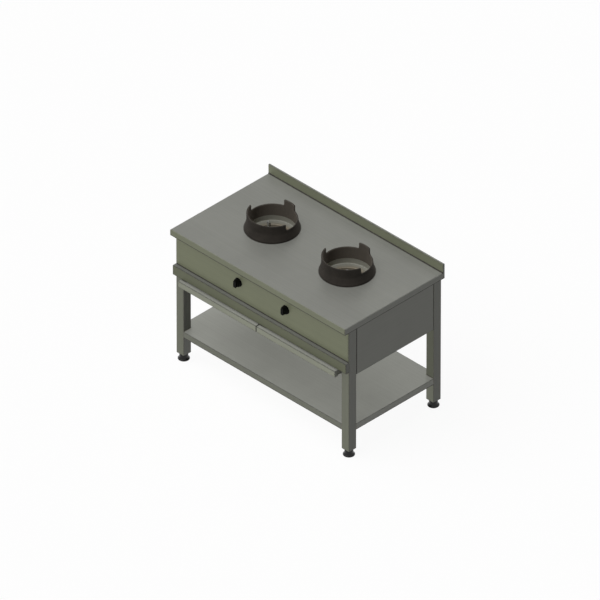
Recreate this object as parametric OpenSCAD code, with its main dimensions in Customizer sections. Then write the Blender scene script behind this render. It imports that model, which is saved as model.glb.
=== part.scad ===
// Two-burner wok range: a stainless table with two lift-off cast wok rings, a gas train behind
// its control panel, two pull-out drip trays and a lower shelf. +Z is up and the front faces -Y.

/* [Worktop] */
// Width of the worktop
top_w = 1400; // [1300:10:1700]
// Depth of the worktop, front edge to back edge
top_d = 800; // [780:10:900]
// Height of the worktop's surface above the floor
top_z = 915; // [880:5:950]
// Thickness of the worktop's sheet
top_t = 2; // [1.5:0.5:3]
// Height of the worktop's folded edge
top_edge_h = 40; // [36:1:50]
// Outer radius of the worktop's folds
top_bend_r = 6; // [4:1:8]
// Depth of the hem under the front edge
hem_d = 14; // [8:1:20]
// Height of the upstand above the worktop
upstand_h = 60; // [40:5:100]
// Thickness of the folded upstand, front face to back face
upstand_t = 12; // [8:1:18]
// Radius of the cove between worktop and upstand
cove_r = 4; // [3:1:15]
// Overhang of the worktop past the side faces of the legs
side_hang = 6; // [4:1:20]
// Overhang of the worktop past the front faces of the legs
front_hang = 40; // [30:1:50]
// Overhang of the worktop past the rear faces of the legs
rear_hang = 20; // [10:1:30]

/* [Legs and feet] */
// Side of the square leg tubes
leg_s = 60; // [50:1:70]
// Wall of the leg tubes
leg_t = 2; // [1.5:0.5:3]
// Height of the leg tubes' lower ends above the floor
leg_z = 44; // [38:1:60]
// Radius of a foot's flange on the floor
foot_flange_r = 35; // [30:1:40]
// Radius of a foot's bell under the leg
foot_bell_r = 26; // [22:1:28]
// Radius of a foot's threaded stem
stem_r = 6; // [5:1:8]
// Length of the stem above the foot's bell
stem_l = 62; // [50:1:80]
// Height of the threaded plug in a leg end
plug_h = 28; // [20:1:35]

/* [Frame] */
// Side of the square tubes under the worktop
rail_s = 30; // [25:1:35]
// Height of the two rails above the drip trays
low_rail_h = 60; // [40:1:60]
// Wall of the frame tubes
rail_t = 2; // [1.5:0.5:3]
// Height of the channels welded under the worktop
stiff_h = 25; // [18:1:30]
// Width of those channels
stiff_w = 40; // [36:1:50]
// Width of a channel's welding lips
stiff_lip = 15; // [8:1:20]
// Thickness of the channels
stiff_t = 2; // [1.5:0.5:3]

/* [Panels] */
// Thickness of the cladding panels
panel_t = 1.5; // [1:0.5:2]
// Height of the closed body, worktop surface to the control panel's lower edge
body_h = 253; // [240:1:300]
// Inset of the control panel's ends from the side faces of the legs
panel_inset = 6; // [2:1:15]
// Depth of the panels' stiffening flanges
flange_d = 12; // [8:1:12]
// Height of the front rail under the control panel
guard_h = 65; // [50:1:80]
// Distance the front rail stands out from the legs
guard_out = 26; // [16:1:28]

/* [Shelf] */
// Height of the lower shelf's surface above the floor
shelf_z = 212; // [150:1:300]
// Height of the lower shelf's folded edge
shelf_edge_h = 40; // [30:1:50]
// Distance of the shelf's back edge from the rear faces of the legs
shelf_back = 17; // [10:1:30]
// Width of the channel under the shelf
shelf_stiff_w = 80; // [60:5:120]

/* [Drip trays] */
// Height of a drip tray's front
tray_front_h = 40; // [36:1:50]
// Distance the tray fronts stand out from the front rail
tray_out = 24; // [15:1:30]
// Gap between the two tray fronts
tray_split = 2; // [1:0.5:4]
// Length of a tray's pan
tray_l = 683; // [500:1:690]
// Thickness of the trays' sheet
tray_t = 1.2; // [0.8:0.1:1.5]

/* [Burners] */
// Distance between the two burner centres
burner_pitch = 600; // [580:10:640]
// Distance of the burner centres from the worktop's front edge
burner_set = 420; // [400:5:440]
// Outer radius of a wok ring's wall
ring_r = 148; // [140:1:155]
// Wall of a wok ring
ring_wall = 8; // [6:1:10]
// Radius of a wok ring's base
ring_base_r = 160; // [158:1:170]
// Height of the straight lip round the base
ring_lip_h = 12; // [8:1:16]
// Height at which the flared base meets the wall
ring_flare_h = 50; // [40:1:55]
// Height of the rim in the two cut-outs
ring_low_h = 66; // [60:1:75]
// Height of the front shield and the rear lug
ring_high_h = 107; // [95:1:125]
// Angle from the right, towards the back, at which a cut-out starts
cut_from = -13; // [-20:1:0]
// Angle at which the cut-out ends at the rear lug
cut_to = 73; // [60:1:80]
// Radius of the cut-outs' lower corners
cut_r = 12; // [6:1:16]
// Depth of the ring's spigot in the worktop's hole
spigot_h = 10; // [6:1:14]
// Depth of a burner well's straight wall
well_d = 50; // [40:1:60]
// Radius of the opening in a well's floor
well_lip_r = 110; // [100:1:116]
// Thickness of a well's sheet
well_t = 1.5; // [1:0.5:2]
// Radius of a burner's crown
crown_r = 62; // [55:1:68]
// Depth of the crown's top below the worktop's surface
crown_drop = 36; // [30:1:42]
// Outer radius of a burner's mixing tube
mixer_r = 24; // [20:1:26]

/* [Gas train] */
// Distance between the two knobs
knob_pitch = 380; // [340:10:420]
// Depth of the knobs' axes below the worktop's surface
knob_drop = 133; // [128:1:140]
// Outer radius of the gas pipes
pipe_r = 10.65; // [10:0.05:12]
// Major radius of the gas inlet's half-inch thread
inlet_r = 10.48; // [10:0.01:11]
// Radius of a valve's spindle
spindle_r = 5; // [4:0.5:6]
// Outer radius of the gas tubes from valve to burner
gas_tube_r = 6; // [5:0.5:7]
// Radius of a knob's skirt
knob_r = 26; // [22:1:28]
// Travel of a knob when it is pushed in
knob_push = 4; // [3:0.5:5]

/* [Clearances] */
// Radial clearance of spindles, sleeves and stems that turn or slide
run_fit = 0.05; // [0.02:0.01:0.1]
// Gap between pieces that rest on or slide past each other
seat_gap = 0.3; // [0.2:0.05:0.5]
// Radial play of a wok ring's spigot in the worktop's hole
spigot_play = 1; // [0.5:0.1:1.5]

/* [Hidden] */
$fn = 64;

steel = [0.66, 0.66, 0.63];
cast_iron = [0.19, 0.175, 0.16];
brass = [0.74, 0.60, 0.32];
copper = [0.72, 0.45, 0.32];
zinc = [0.72, 0.72, 0.70];
black = [0.07, 0.07, 0.06];

LEFT = -1;
RIGHT = 1;
EPS = 0.01;
OVER = 1; // how far a cutter runs past the faces that it cuts

// Plan: the tray fronts are the foremost faces and the worktop's back edge is the rearmost
leg_half = leg_s / 2;
nose = tray_out + guard_out - front_hang;
x_side = top_w / 2;
y_back = (top_d + nose) / 2;
y_front = y_back - top_d;
y_legs = y_front + front_hang;
leg_x = x_side - side_hang - leg_half;
leg_y_front = y_legs + leg_half;
leg_y_rear = y_back - rear_hang - leg_half;
x_leg_out = leg_x + leg_half;
x_leg_in = leg_x - leg_half;
y_leg_gap_front = leg_y_front + leg_half;
y_leg_gap_rear = leg_y_rear - leg_half;
y_rear_face = leg_y_rear + leg_half;
tube_r = 4;

// Heights, worked down from the worktop
top_under = top_z - top_t;
guard_top = top_z - body_h;
guard_z = guard_top - guard_h;
tray_drop = 2;
tray_top = guard_z - tray_drop;
tray_z = tray_top - tray_front_h;
low_rail_z = tray_top + 4;
low_rail_top = low_rail_z + low_rail_h;
rail_y_rear = y_rear_face - panel_t - seat_gap / 3 - rail_s / 2;
guard_y = y_legs - guard_out;
tray_y = guard_y - tray_out;
fold_r = 3;

// Burners
burner_x = burner_pitch / 2;
burner_y = y_front + burner_set;
ring_in_r = ring_r - ring_wall;
spigot_t = 5;
hole_r = ring_in_r + spigot_t + spigot_play;
well_flange_r = hole_r + 20;
well_bend_r = 6;
well_slope = 4;
well_lip_h = 12;
well_lip_bend = 4;
crown_h = 16;
cup_h = 18;
cup_taper_h = 15;
stiff_x = well_flange_r + 4 + stiff_w / 2 + stiff_lip;
cradle_t = 4;
cradle_w = 50;
cradle_x = stiff_x - stiff_w / 2;
cradle_z = top_z - knob_drop - mixer_r - 17;
foot_block_w = 40;
foot_block_d = 30;
foot_lap = 12;
foot_y = (foot_block_d - cradle_w) / 2;
burner_bend_r = mixer_r + 6;
bolt_r = 4;
bolt_head_r = 7.5;
bolt_head_h = 5.5;
bolt_gap = 0.3;

// Gas train: knob, valve, injector and mixing tube share one height
knob_x = knob_pitch / 2;
gas_z = top_z - knob_drop;
panel_face = y_legs - panel_t;
manifold_y = leg_y_front;
manifold_z = gas_z - 38;
valve_half = 22;
valve_front = manifold_y - 17;
valve_back = manifold_y + 21;
bonnet_r = 16;
bonnet_front = y_legs + 4;
sleeve_r = spindle_r + 3;
sleeve_front = panel_face - 3.5;
sleeve_back = sleeve_front + 23;
spindle_back = sleeve_back + 20;
bore_room = knob_push + 2;
hub_front = sleeve_front - seat_gap;
knob_back = panel_face - 6.5;
bezel_t = 1.2;
bezel_r = knob_r + 2;
skirt_t = 6;
grip_back = knob_back - skirt_t;
knob_front = grip_back - 20;
spindle_front = grip_back - 9;
nut_l = 8;
tube_bend_r = 20;
gas_turn_y = valve_back + nut_l + tube_bend_r + 4;
injector_r = 8;
hexagon_l = 12;
shank_l = 34;
injector_back = gas_turn_y + tube_bend_r + 6;
mouth_y = injector_back + hexagon_l + shank_l;
mixer_l = burner_y - mouth_y;
taper_from = 0.4 * mixer_l;
throat_from = 0.58 * mixer_l;
throat_to = 0.64 * mixer_l;
bell_r = 34;
bridge_t = 8;
bridge_h = injector_r + 4;
shutter_at = mouth_y - 20;
shutter_t = 3;
shutter_hub_r = 13;
shutter_hub_l = 9;
manifold_past = 60;
pipe_bend_r = 36;
inlet_x = x_leg_in - 44;
inlet_end = y_rear_face + 18.5;
inlet_l = 17;

// Pilots stand at the outer rear of each burner, mirrored left to right
pilot_dx = 82;
pilot_dy = 47;
tip_dx = 16;
arm_z = gas_z + burner_bend_r + 1;
arm_t = 4;
pilot_r = 5;
tip_r = 3;
pilot_tube_r = 2.5;
lead_r = 2;
pilot_top = top_z - 17;
tip_top = top_z - 23;
pilot_run_z = gas_z - 20;
lead_run_z = gas_z - 30;
small_bend_r = 8;

// General shapes

function unit(v) = v / norm(v);

// Box between two opposite corners
module span(a, b) { translate(a) cube(b - a); }

// Draws a piece that is made for the right-hand side on the given side
module on_side(side) {
    if (side < 0) mirror([1, 0, 0]) children();
    else children();
}

// Turns a 2D outline in (Y, Z) into a bar along X
module bar_x(x0, x1) { translate([x0, 0, 0]) rotate([90, 0, 90]) linear_extrude(x1 - x0) children(); }

// Turns a 2D outline in (X, Z) into a bar along Y
module bar_y(y0, y1) { translate([0, y1, 0]) rotate([90, 0, 0]) linear_extrude(y1 - y0) children(); }

// Rectangle about the origin with round corners
module round_rect(w, h, r) {
    square([w - 2 * r, h], center = true);
    square([w, h - 2 * r], center = true);
    for (x = [-1, 1], y = [-1, 1])
        translate([x * (w / 2 - r), y * (h / 2 - r)]) circle(r = r);
}

// Section of a rectangular tube
module tube_section(w, h, t, r) {
    difference() {
        round_rect(w, h, r);
        round_rect(w - 2 * t, h - 2 * t, r - t);
    }
}

// What a round corner of radius r takes off a square one that points to (-, +) from its corner
module corner_waste(r) {
    difference() {
        translate([-OVER, -r]) square([r + OVER, r + OVER]);
        translate([r, -r]) circle(r = r);
    }
}

// Places children with their z axis along direction d, which lies along X, Y or Z
module facing(at, d) {
    u = abs(d[2]) > 0.5 ? [1, 0, 0] : [0, 0, 1];
    v = cross(d, u);
    multmatrix([
        [u[0], v[0], d[0], at[0]],
        [u[1], v[1], d[1], at[1]],
        [u[2], v[2], d[2], at[2]],
        [0, 0, 0, 1]]) children();
}

// Round bar between two points on a line along X, Y or Z
module rod(a, b, r) { facing(a, unit(b - a)) cylinder(h = norm(b - a), r = r); }

// Six-sided nut between two points, r from its centre to its corners
module nut(a, b, r) { facing(a, unit(b - a)) cylinder(h = norm(b - a), r = r, $fn = 6); }

// Quarter bend of a round tube at corner p
module tube_corner(p, d_in, d_out, bend_r, r) {
    c = p + bend_r * (d_out - d_in);
    n = cross(-d_out, d_in);
    multmatrix([
        [-d_out[0], d_in[0], n[0], c[0]],
        [-d_out[1], d_in[1], n[1], c[1]],
        [-d_out[2], d_in[2], n[2], c[2]],
        [0, 0, 0, 1]])
        rotate_extrude(angle = 90) translate([bend_r, 0]) circle(r = r);
}

// Round tube along a route whose runs lie along X, Y or Z
module tube_run(route, bend_r, r) {
    last = len(route) - 1;
    for (i = [0 : last - 1]) {
        d = unit(route[i + 1] - route[i]);
        start = route[i] + (i > 0 ? bend_r : 0) * d;
        end = route[i + 1] - (i < last - 1 ? bend_r : 0) * d;
        rod(start, end, r);
    }
    for (i = [1 : last - 1])
        tube_corner(route[i], unit(route[i] - route[i - 1]), unit(route[i + 1] - route[i]), bend_r, r);
}

// Worktop

// Block with rounded front and side edges, inset by e on every side but the bottom
module top_block(e) {
    z0 = top_z - top_edge_h - (e > 0 ? OVER : 0);
    z1 = top_z - e;
    r = top_bend_r - e;
    intersection() {
        bar_x(-x_side + e, x_side - e) difference() {
            translate([y_front + e, z0]) square([top_d - 2 * e, z1 - z0]);
            translate([y_front + e, z1]) corner_waste(r);
        }
        bar_y(y_front + e, y_back - e) difference() {
            translate([-x_side + e, z0]) square([top_w - 2 * e, z1 - z0]);
            translate([-x_side + e, z1]) corner_waste(r);
            translate([x_side - e, z1]) mirror([1, 0]) corner_waste(r);
        }
    }
}

// Upstand in (Y, Z), with the cove at its foot
module upstand_outline() {
    up_z = top_z + upstand_h;
    difference() {
        translate([y_back - upstand_t, top_under]) square([upstand_t, upstand_h + top_t]);
        translate([y_back - upstand_t, up_z]) corner_waste(fold_r);
        translate([y_back, up_z]) mirror([1, 0]) corner_waste(fold_r);
    }
    translate([y_back - upstand_t - cove_r, top_z - EPS]) difference() {
        square([cove_r + EPS, cove_r + EPS]);
        translate([0, cove_r + EPS]) circle(r = cove_r);
    }
}

module worktop() {
    hem_z = top_z - top_edge_h;
    color(steel) {
        difference() {
            union() {
                top_block(0);
                bar_x(-x_side, x_side) upstand_outline();
            }
            top_block(top_t);
            span([-x_side + top_t, y_back - upstand_t + top_t, top_under - OVER],
                [x_side - top_t, y_back - top_t, top_z + upstand_h - top_t]);
            for (side = [LEFT, RIGHT])
                translate([side * burner_x, burner_y, top_under - OVER])
                    cylinder(h = top_t + 2 * OVER, r = hole_r);
        }
        span([-x_side + top_t, y_front + top_t, hem_z], [x_side - top_t, y_front + hem_d, hem_z + top_t]);
    }
}

// Channel that stiffens the worktop, in (X, Z), its lips against the sheet above
module channel_section(w, h, lip, t) {
    translate([-w / 2, -h]) square([w, t]);
    for (s = [-1, 1]) {
        translate([s * (w / 2 - t / 2) - t / 2, -h]) square([t, h]);
        translate([s * (w + lip - t) / 2 - (lip + t) / 2, -t]) square([lip + t, t]);
    }
}

// Places of the bolts that hold the two ends of a cradle, from a burner's centre
CRADLE_BOLTS = [for (x = [-1, 1], y = [-1, 1]) [x * stiff_x, y * cradle_w / 4]];

module deck_stiffeners() {
    color(steel)
    for (side = [LEFT, RIGHT], x = [-1, 1])
        difference() {
            bar_y(leg_y_front + rail_s / 2, rail_y_rear - rail_s / 2)
                translate([side * burner_x + x * stiff_x, top_under])
                    channel_section(stiff_w, stiff_h, stiff_lip, stiff_t);
            for (b = CRADLE_BOLTS)
                translate([side * burner_x + b[0], burner_y + b[1], top_under - stiff_h - OVER])
                    cylinder(h = stiff_t + 2 * OVER, r = bolt_r + bolt_gap);
        }
}

// Frame, legs and feet

module top_frame() {
    z = top_under - rail_s / 2;
    color(steel) {
        for (y = [leg_y_front, rail_y_rear])
            bar_x(-x_leg_in, x_leg_in) translate([y, z]) tube_section(rail_s, rail_s, rail_t, fold_r);
        for (x = [-leg_x, leg_x])
            bar_y(y_leg_gap_front, y_leg_gap_rear) translate([x, z]) tube_section(rail_s, rail_s, rail_t, fold_r);
    }
}

// Heights and spacing of the screws that hold the rear panel to the two rear rails
REAR_SCREWS = [for (i = [-2 : 2], z = [top_under - rail_s / 2, low_rail_z + low_rail_h / 2])
    [i * (x_leg_in - 30) / 2, z]];
screw_r = 2.5;

module tray_rails() {
    z = low_rail_z + low_rail_h / 2;
    color(steel)
    for (y = [leg_y_front, rail_y_rear])
        bar_x(-x_leg_in, x_leg_in) translate([y, z]) tube_section(rail_s, low_rail_h, rail_t, fold_r);
}

module leg(x, y) {
    color(steel) translate([x, y, leg_z])
        linear_extrude(top_under - leg_z) tube_section(leg_s, leg_s, leg_t, tube_r);
}

module leg_plugs() {
    color(black)
    for (x = [-leg_x, leg_x], y = [leg_y_front, leg_y_rear])
        translate([x, y, leg_z]) difference() {
            linear_extrude(plug_h) round_rect(leg_s - 2 * leg_t, leg_s - 2 * leg_t, tube_r - leg_t);
            translate([0, 0, -OVER]) cylinder(h = plug_h + 2 * OVER, r = stem_r + run_fit);
        }
}

// Bell-shaped foot on its threaded stem, screwed right in
module levelling_foot(x, y) {
    bell_top = leg_z - seat_gap;
    color(black) translate([x, y, 0]) {
        rotate_extrude() polygon([
            [0, 0], [foot_flange_r - 1, 0], [foot_flange_r, 1], [foot_flange_r, 5],
            [foot_flange_r - 4, 9], [foot_bell_r + 3, 14], [foot_bell_r, 20],
            [foot_bell_r, bell_top - 1], [foot_bell_r - 1, bell_top], [0, bell_top]]);
        translate([0, 0, bell_top - OVER]) cylinder(h = stem_l + OVER, r = stem_r);
    }
}

// Panels

module control_panel() {
    x = x_leg_out - panel_inset;
    color(steel) difference() {
        union() {
            span([-x, panel_face, guard_top + 0.2], [x, y_legs, top_under]);
            span([-x_leg_in + OVER, y_legs - EPS, top_under - panel_t],
                [x_leg_in - OVER, y_legs + flange_d, top_under]);
        }
        for (side = [LEFT, RIGHT])
            translate([side * knob_x, y_legs + OVER, gas_z]) rotate([90, 0, 0])
                cylinder(h = panel_t + 2 * OVER, r = sleeve_r + 2);
    }
}

// Rail across the front under the panel: a folded channel, open to the legs, with closed ends
module panel_guard() {
    color(steel) difference() {
        bar_x(-x_leg_out, x_leg_out) difference() {
            translate([guard_y, guard_z]) square([guard_out, guard_h]);
            translate([guard_y, guard_top]) corner_waste(fold_r);
            translate([guard_y, guard_z]) mirror([0, 1]) corner_waste(fold_r);
        }
        span([-x_leg_out + panel_t, guard_y + panel_t, guard_z + panel_t],
            [x_leg_out - panel_t, y_legs + OVER, guard_top - panel_t]);
    }
}

// Side panel between two legs: a shallow pan whose flanges turn in
module side_panel() {
    x = x_leg_out - 0.5;
    gap = 0.2;
    y0 = y_leg_gap_front + gap;
    y1 = y_leg_gap_rear - gap;
    color(steel) difference() {
        span([x - flange_d, y0, tray_z], [x, y1, top_under]);
        span([x - flange_d - OVER, y0 + panel_t, tray_z + panel_t], [x - panel_t, y1 - panel_t, top_under - panel_t]);
    }
}

// Rear panel: it ends under the lower rail, so air reaches the burners over the trays
module rear_panel() {
    y = y_rear_face;
    x = x_leg_in - seat_gap;
    z = low_rail_z - 2 * panel_t;
    color(steel) difference() {
        union() {
            span([-x, y - panel_t, z], [x, y, top_under]);
            span([-x, y - flange_d, z], [x, y, z + panel_t]);
        }
        translate([inlet_x, y + OVER, manifold_z]) rotate([90, 0, 0])
            cylinder(h = panel_t + 2 * OVER, r = pipe_r + 2);
        for (s = REAR_SCREWS)
            translate([s[0], y + OVER, s[1]]) rotate([90, 0, 0])
                cylinder(h = panel_t + 2 * OVER, r = screw_r + seat_gap);
    }
}

// Domed screws, their points just short of the rails' walls, which they are tapped into
module rear_panel_screws() {
    color(zinc)
    for (s = REAR_SCREWS)
        translate([s[0], y_rear_face, s[1]]) {
            rod([0, -panel_t, 0], [0, EPS, 0], screw_r);
            rod([0, 0, 0], [0, 1.2, 0], 5);
            rod([0, 1.2, 0], [0, 2.2, 0], 3.6);
        }
}

// Shelf

module lower_shelf() {
    z0 = shelf_z - shelf_edge_h;
    y1 = y_rear_face - shelf_back;
    notch = leg_half + seat_gap;
    color(steel) difference() {
        bar_x(-x_leg_out, x_leg_out) difference() {
            translate([y_legs, z0]) square([y1 - y_legs, shelf_edge_h]);
            translate([y_legs, shelf_z]) corner_waste(fold_r);
        }
        span([-x_leg_out + panel_t, y_legs + panel_t, z0 - OVER], [x_leg_out - panel_t, y1 - panel_t, shelf_z - panel_t]);
        for (x = [-leg_x, leg_x], y = [leg_y_front, leg_y_rear])
            span([x - notch, y - notch, z0 - OVER], [x + notch, y + notch, shelf_z + OVER]);
    }
}

module shelf_stiffener() {
    color(steel)
    bar_x(-x_leg_in, x_leg_in)
        translate([(y_legs + y_rear_face - shelf_back) / 2, shelf_z - panel_t])
            channel_section(shelf_stiff_w, stiff_h, stiff_lip, stiff_t);
}

// Drip trays and their runners

runner_t = 1.5;
runner_top = tray_z + 3;
runner_w = 30;
runner_past = 10; // how far a runner reaches past a tray's end, at the least
tray_in_x = 12;
tray_out_x = x_leg_in - 8;
tray_pan_z = runner_top + seat_gap;
tray_end = guard_y + tray_l;
tray_rim_z = tray_top - 3;

// Tray for the right-hand side: a pan with a folded front channel
module drip_tray() {
    x0 = tray_split / 2;
    x1 = x_leg_in - 4;
    color(steel) {
        difference() {
            span([tray_in_x, guard_y - tray_t, tray_pan_z], [tray_out_x, tray_end, tray_rim_z]);
            span([tray_in_x + tray_t, guard_y, tray_pan_z + tray_t],
                [tray_out_x - tray_t, tray_end - tray_t, tray_rim_z + OVER]);
        }
        span([tray_in_x, guard_y - tray_t, tray_rim_z - EPS], [tray_out_x, guard_y, tray_top - EPS]);
        difference() {
            bar_x(x0, x1) difference() {
                translate([tray_y, tray_z]) square([tray_out, tray_front_h]);
                translate([tray_y, tray_top]) corner_waste(fold_r);
                translate([tray_y, tray_z]) mirror([0, 1]) corner_waste(fold_r);
            }
            span([x0 + tray_t, tray_y + tray_t, tray_z + tray_t], [x1 - tray_t, guard_y + OVER, tray_top - tray_t]);
            span([x0 + tray_t, tray_y + tray_front_h / 4, tray_z - OVER], [x1 - tray_t, guard_y + OVER, tray_z + OVER + tray_t]);
        }
    }
}

// Angle runner on the inner faces of the right-hand legs, with a stop behind the tray
module side_runner() {
    y0 = y_legs + 2;
    y1 = max(y_leg_gap_rear + leg_half, tray_end + runner_past);
    color(steel) {
        span([x_leg_in - runner_t, y0, runner_top - runner_t], [x_leg_in, y1, tray_top]);
        span([x_leg_in - runner_w, y0, runner_top - runner_t], [x_leg_in, y1, runner_top]);
        span([x_leg_in - runner_w, tray_end + seat_gap, runner_top - runner_t],
            [x_leg_in - runner_t, tray_end + seat_gap + runner_t, runner_top + 20]);
    }
}

// I-shaped runner between the trays, hung from the two tray rails and short of the rear panel's flange
module centre_runner() {
    y0 = leg_y_front - rail_s / 2;
    y1 = y_rear_face - flange_d - seat_gap;
    color(steel) {
        span([-runner_t, y0, runner_top - runner_t], [runner_t, y1, low_rail_z]);
        span([-runner_w, y0, runner_top - runner_t], [runner_w, max(y1, tray_end + runner_past), runner_top]);
        span([-tray_in_x + 2, y0, low_rail_z - runner_t], [tray_in_x - 2, y1, low_rail_z]);
        span([-runner_w, tray_end + seat_gap, runner_top - EPS],
            [runner_w, tray_end + seat_gap + runner_t, runner_top + 20]);
    }
}

// Wok rings and wells

// Section of the ring in (radius, height above the worktop), with its spigot below
module ring_section() {
    rim = 2.5;
    spigot_r = hole_r - spigot_play;
    difference() {
        polygon([
            [ring_in_r, -spigot_h], [spigot_r - 1, -spigot_h], [spigot_r, 1 - spigot_h], [spigot_r, 0],
            [ring_base_r - 1, 0], [ring_base_r, 1], [ring_base_r, ring_lip_h - 2],
            [ring_base_r - 1.5, ring_lip_h], [ring_r, ring_flare_h], [ring_r, ring_high_h],
            [ring_in_r, ring_high_h]]);
        translate([ring_in_r, ring_high_h]) corner_waste(rim);
        translate([ring_r, ring_high_h]) mirror([1, 0]) corner_waste(rim);
    }
}

// One low cut-out, open at the top: a wedge with round lower corners and sides square to the wall
module ring_cut(from, to) {
    turn = asin(cut_r / ring_r);
    reach = 1.2 * ring_base_r;
    intersection_for (end = [RIGHT, LEFT])
        rotate([0, 0, end > 0 ? from + turn : to - turn]) bar_x(-reach, reach) on_side(end) difference() {
            translate([-cut_r, ring_low_h]) square([cut_r + reach, ring_high_h - ring_low_h + OVER]);
            translate([-cut_r, ring_low_h]) mirror([0, 1]) corner_waste(cut_r);
        }
}

module wok_ring(side) {
    color(cast_iron) translate([side * burner_x, burner_y, top_z]) difference() {
        rotate_extrude() ring_section();
        for (s = [RIGHT, LEFT]) on_side(s) ring_cut(cut_from, cut_to);
    }
}

function arc(cx, cy, r, from, to) =
    [for (i = [0 : 6]) let (a = from + (to - from) * i / 6) [cx + r * cos(a), cy + r * sin(a)]];

// Sheet of the well, offset by e from its bright inner surface, in (radius, height)
function well_path(e) = concat(
    [[hole_r + e, -top_t - e]],
    arc(hole_r - well_bend_r, well_bend_r - well_d, well_bend_r + e, 0, -90),
    arc(well_lip_r + well_lip_bend, -well_d - well_slope - well_lip_bend, well_lip_bend - e, 90, 180),
    [[well_lip_r + e, -well_d - well_slope - well_lip_bend - well_lip_h]]);

// Spun well, welded under the worktop's hole by its flange
module burner_well(side) {
    back = well_path(well_t);
    color(steel) translate([side * burner_x, burner_y, top_z]) rotate_extrude() polygon(concat(
        well_path(0),
        [for (i = [len(back) - 1 : -1 : 0]) back[i]],
        [[well_flange_r, -top_t - well_t], [well_flange_r, -top_t]]));
}

// Burners

crown_z = top_z - crown_drop;
cup_z = crown_z - crown_h;
neck_z = cup_z - cup_h - cup_taper_h;
mixer_bore = mixer_r - 5;
crown_wall = 5;
crown_skirt = 4;
cup_r = crown_r - 4;

// Upper part of the burner, of outer radius r at its neck: elbow, neck, taper and cup
module burner_rise(r, cup, past) {
    start_z = gas_z + burner_bend_r;
    tube_corner([0, 0, gas_z], [0, 1, 0], [0, 0, 1], burner_bend_r, r);
    translate([0, 0, start_z]) cylinder(h = neck_z - start_z + past, r = r);
    translate([0, 0, neck_z]) cylinder(h = cup_taper_h, r1 = r, r2 = cup);
    translate([0, 0, cup_z - cup_h]) cylinder(h = cup_h + past, r = cup);
}

// Cast burner: cup, neck, elbow and mixing tube with a throat and a bell at its mouth
module burner_body(side) {
    throat = mixer_r - 7;
    wall = mixer_r - mixer_bore;
    color(cast_iron) translate([side * burner_x, burner_y, 0]) {
        difference() {
            union() {
                burner_rise(mixer_r, cup_r, 0);
                translate([0, 0, gas_z]) rotate([90, 0, 0]) rotate_extrude() polygon([
                    [0, burner_bend_r], [mixer_r, burner_bend_r], [mixer_r, taper_from],
                    [throat, throat_from], [throat, throat_to],
                    [bell_r - 4, mixer_l - 10], [bell_r, mixer_l - 10], [bell_r, mixer_l], [0, mixer_l]]);
                span([-foot_block_w / 2, foot_y - foot_block_d / 2, cradle_z + cradle_t],
                    [foot_block_w / 2, foot_y + foot_block_d / 2, gas_z - mixer_r + foot_lap]);
            }
            burner_rise(mixer_bore, cup_r - crown_wall, OVER);
            translate([0, 0, gas_z]) rotate([90, 0, 0]) rotate_extrude() polygon([
                [0, burner_bend_r], [mixer_bore, burner_bend_r], [mixer_bore, taper_from],
                [throat - wall, throat_from], [throat - wall, throat_to],
                [bell_r - 9, mixer_l - 8], [bell_r - 6, mixer_l + OVER], [0, mixer_l + OVER]]);
        }
        difference() {
            span([-bell_r + 4, -mixer_l, gas_z - bridge_h], [bell_r - 4, -mixer_l + bridge_t, gas_z + bridge_h]);
            translate([0, -mixer_l - OVER, gas_z]) rotate([-90, 0, 0])
                cylinder(h = bridge_t + 2 * OVER, r = injector_r);
        }
    }
}

port_r = 2;
port_ring_r = crown_r - 6;

// Ported crown: a ring of slanted ports round its chamfer and two rings of upright ones
module burner_crown(side) {
    chamfer = 11;
    skin = 6;
    color(brass) translate([side * burner_x, burner_y, crown_z]) difference() {
        rotate_extrude() polygon([
            [0, 0], [crown_r - chamfer, 0], [crown_r, -chamfer], [crown_r, -crown_h - crown_skirt],
            [cup_r + seat_gap, -crown_h - crown_skirt], [cup_r + seat_gap, -crown_h],
            [cup_r - crown_wall, -crown_h], [cup_r - crown_wall, -chamfer - 1],
            [crown_r - chamfer - 4, -skin], [0, -skin]]);
        for (i = [0 : 23])
            rotate([0, 0, i * 15]) translate([port_ring_r + 1, 0, -chamfer / 2]) rotate([0, 45, 0])
                translate([0, 0, -chamfer]) cylinder(h = 2 * chamfer, r = port_r);
        for (ring = [[38, 16], [22, 8]], i = [0 : ring[1] - 1])
            rotate([0, 0, i * 360 / ring[1]]) translate([ring[0], 0, -skin - OVER])
                cylinder(h = skin + 2 * OVER, r = port_r);
    }
}

// Strap that hangs from two stiffeners and carries the burner
module burner_cradle(side) {
    half = cradle_w / 2;
    hang = top_under - stiff_h;
    color(steel) translate([side * burner_x, burner_y, 0]) difference() {
        union() {
            span([-cradle_x, -half, cradle_z], [cradle_x, half, cradle_z + cradle_t]);
            for (s = [0, 1]) mirror([s, 0, 0]) {
                span([cradle_x - cradle_t, -half, cradle_z], [cradle_x, half, hang]);
                span([cradle_x - cradle_t, -half, hang - cradle_t], [cradle_x + stiff_w, half, hang]);
            }
        }
        for (b = CRADLE_BOLTS)
            translate([b[0], b[1], hang - cradle_t - OVER]) cylinder(h = cradle_t + 2 * OVER, r = bolt_r + bolt_gap);
        for (s = [-1, 1])
            translate([s * foot_block_w / 4, foot_y, cradle_z - OVER])
                cylinder(h = cradle_t + 2 * OVER, r = bolt_r + bolt_gap);
    }
}

module hex_bolt(at, length) {
    nut(at - [0, 0, bolt_head_h], at, bolt_head_r);
    rod(at - [0, 0, EPS], at + [0, 0, length], bolt_r);
}

module cradle_bolts() {
    hang = top_under - stiff_h - cradle_t;
    color(zinc)
    for (side = [LEFT, RIGHT]) translate([side * burner_x, burner_y, 0]) {
        for (b = CRADLE_BOLTS) hex_bolt([b[0], b[1], hang], cradle_t + stiff_t + 8);
        for (s = [-1, 1]) hex_bolt([s * foot_block_w / 4, foot_y, cradle_z], cradle_t);
    }
}

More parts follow.
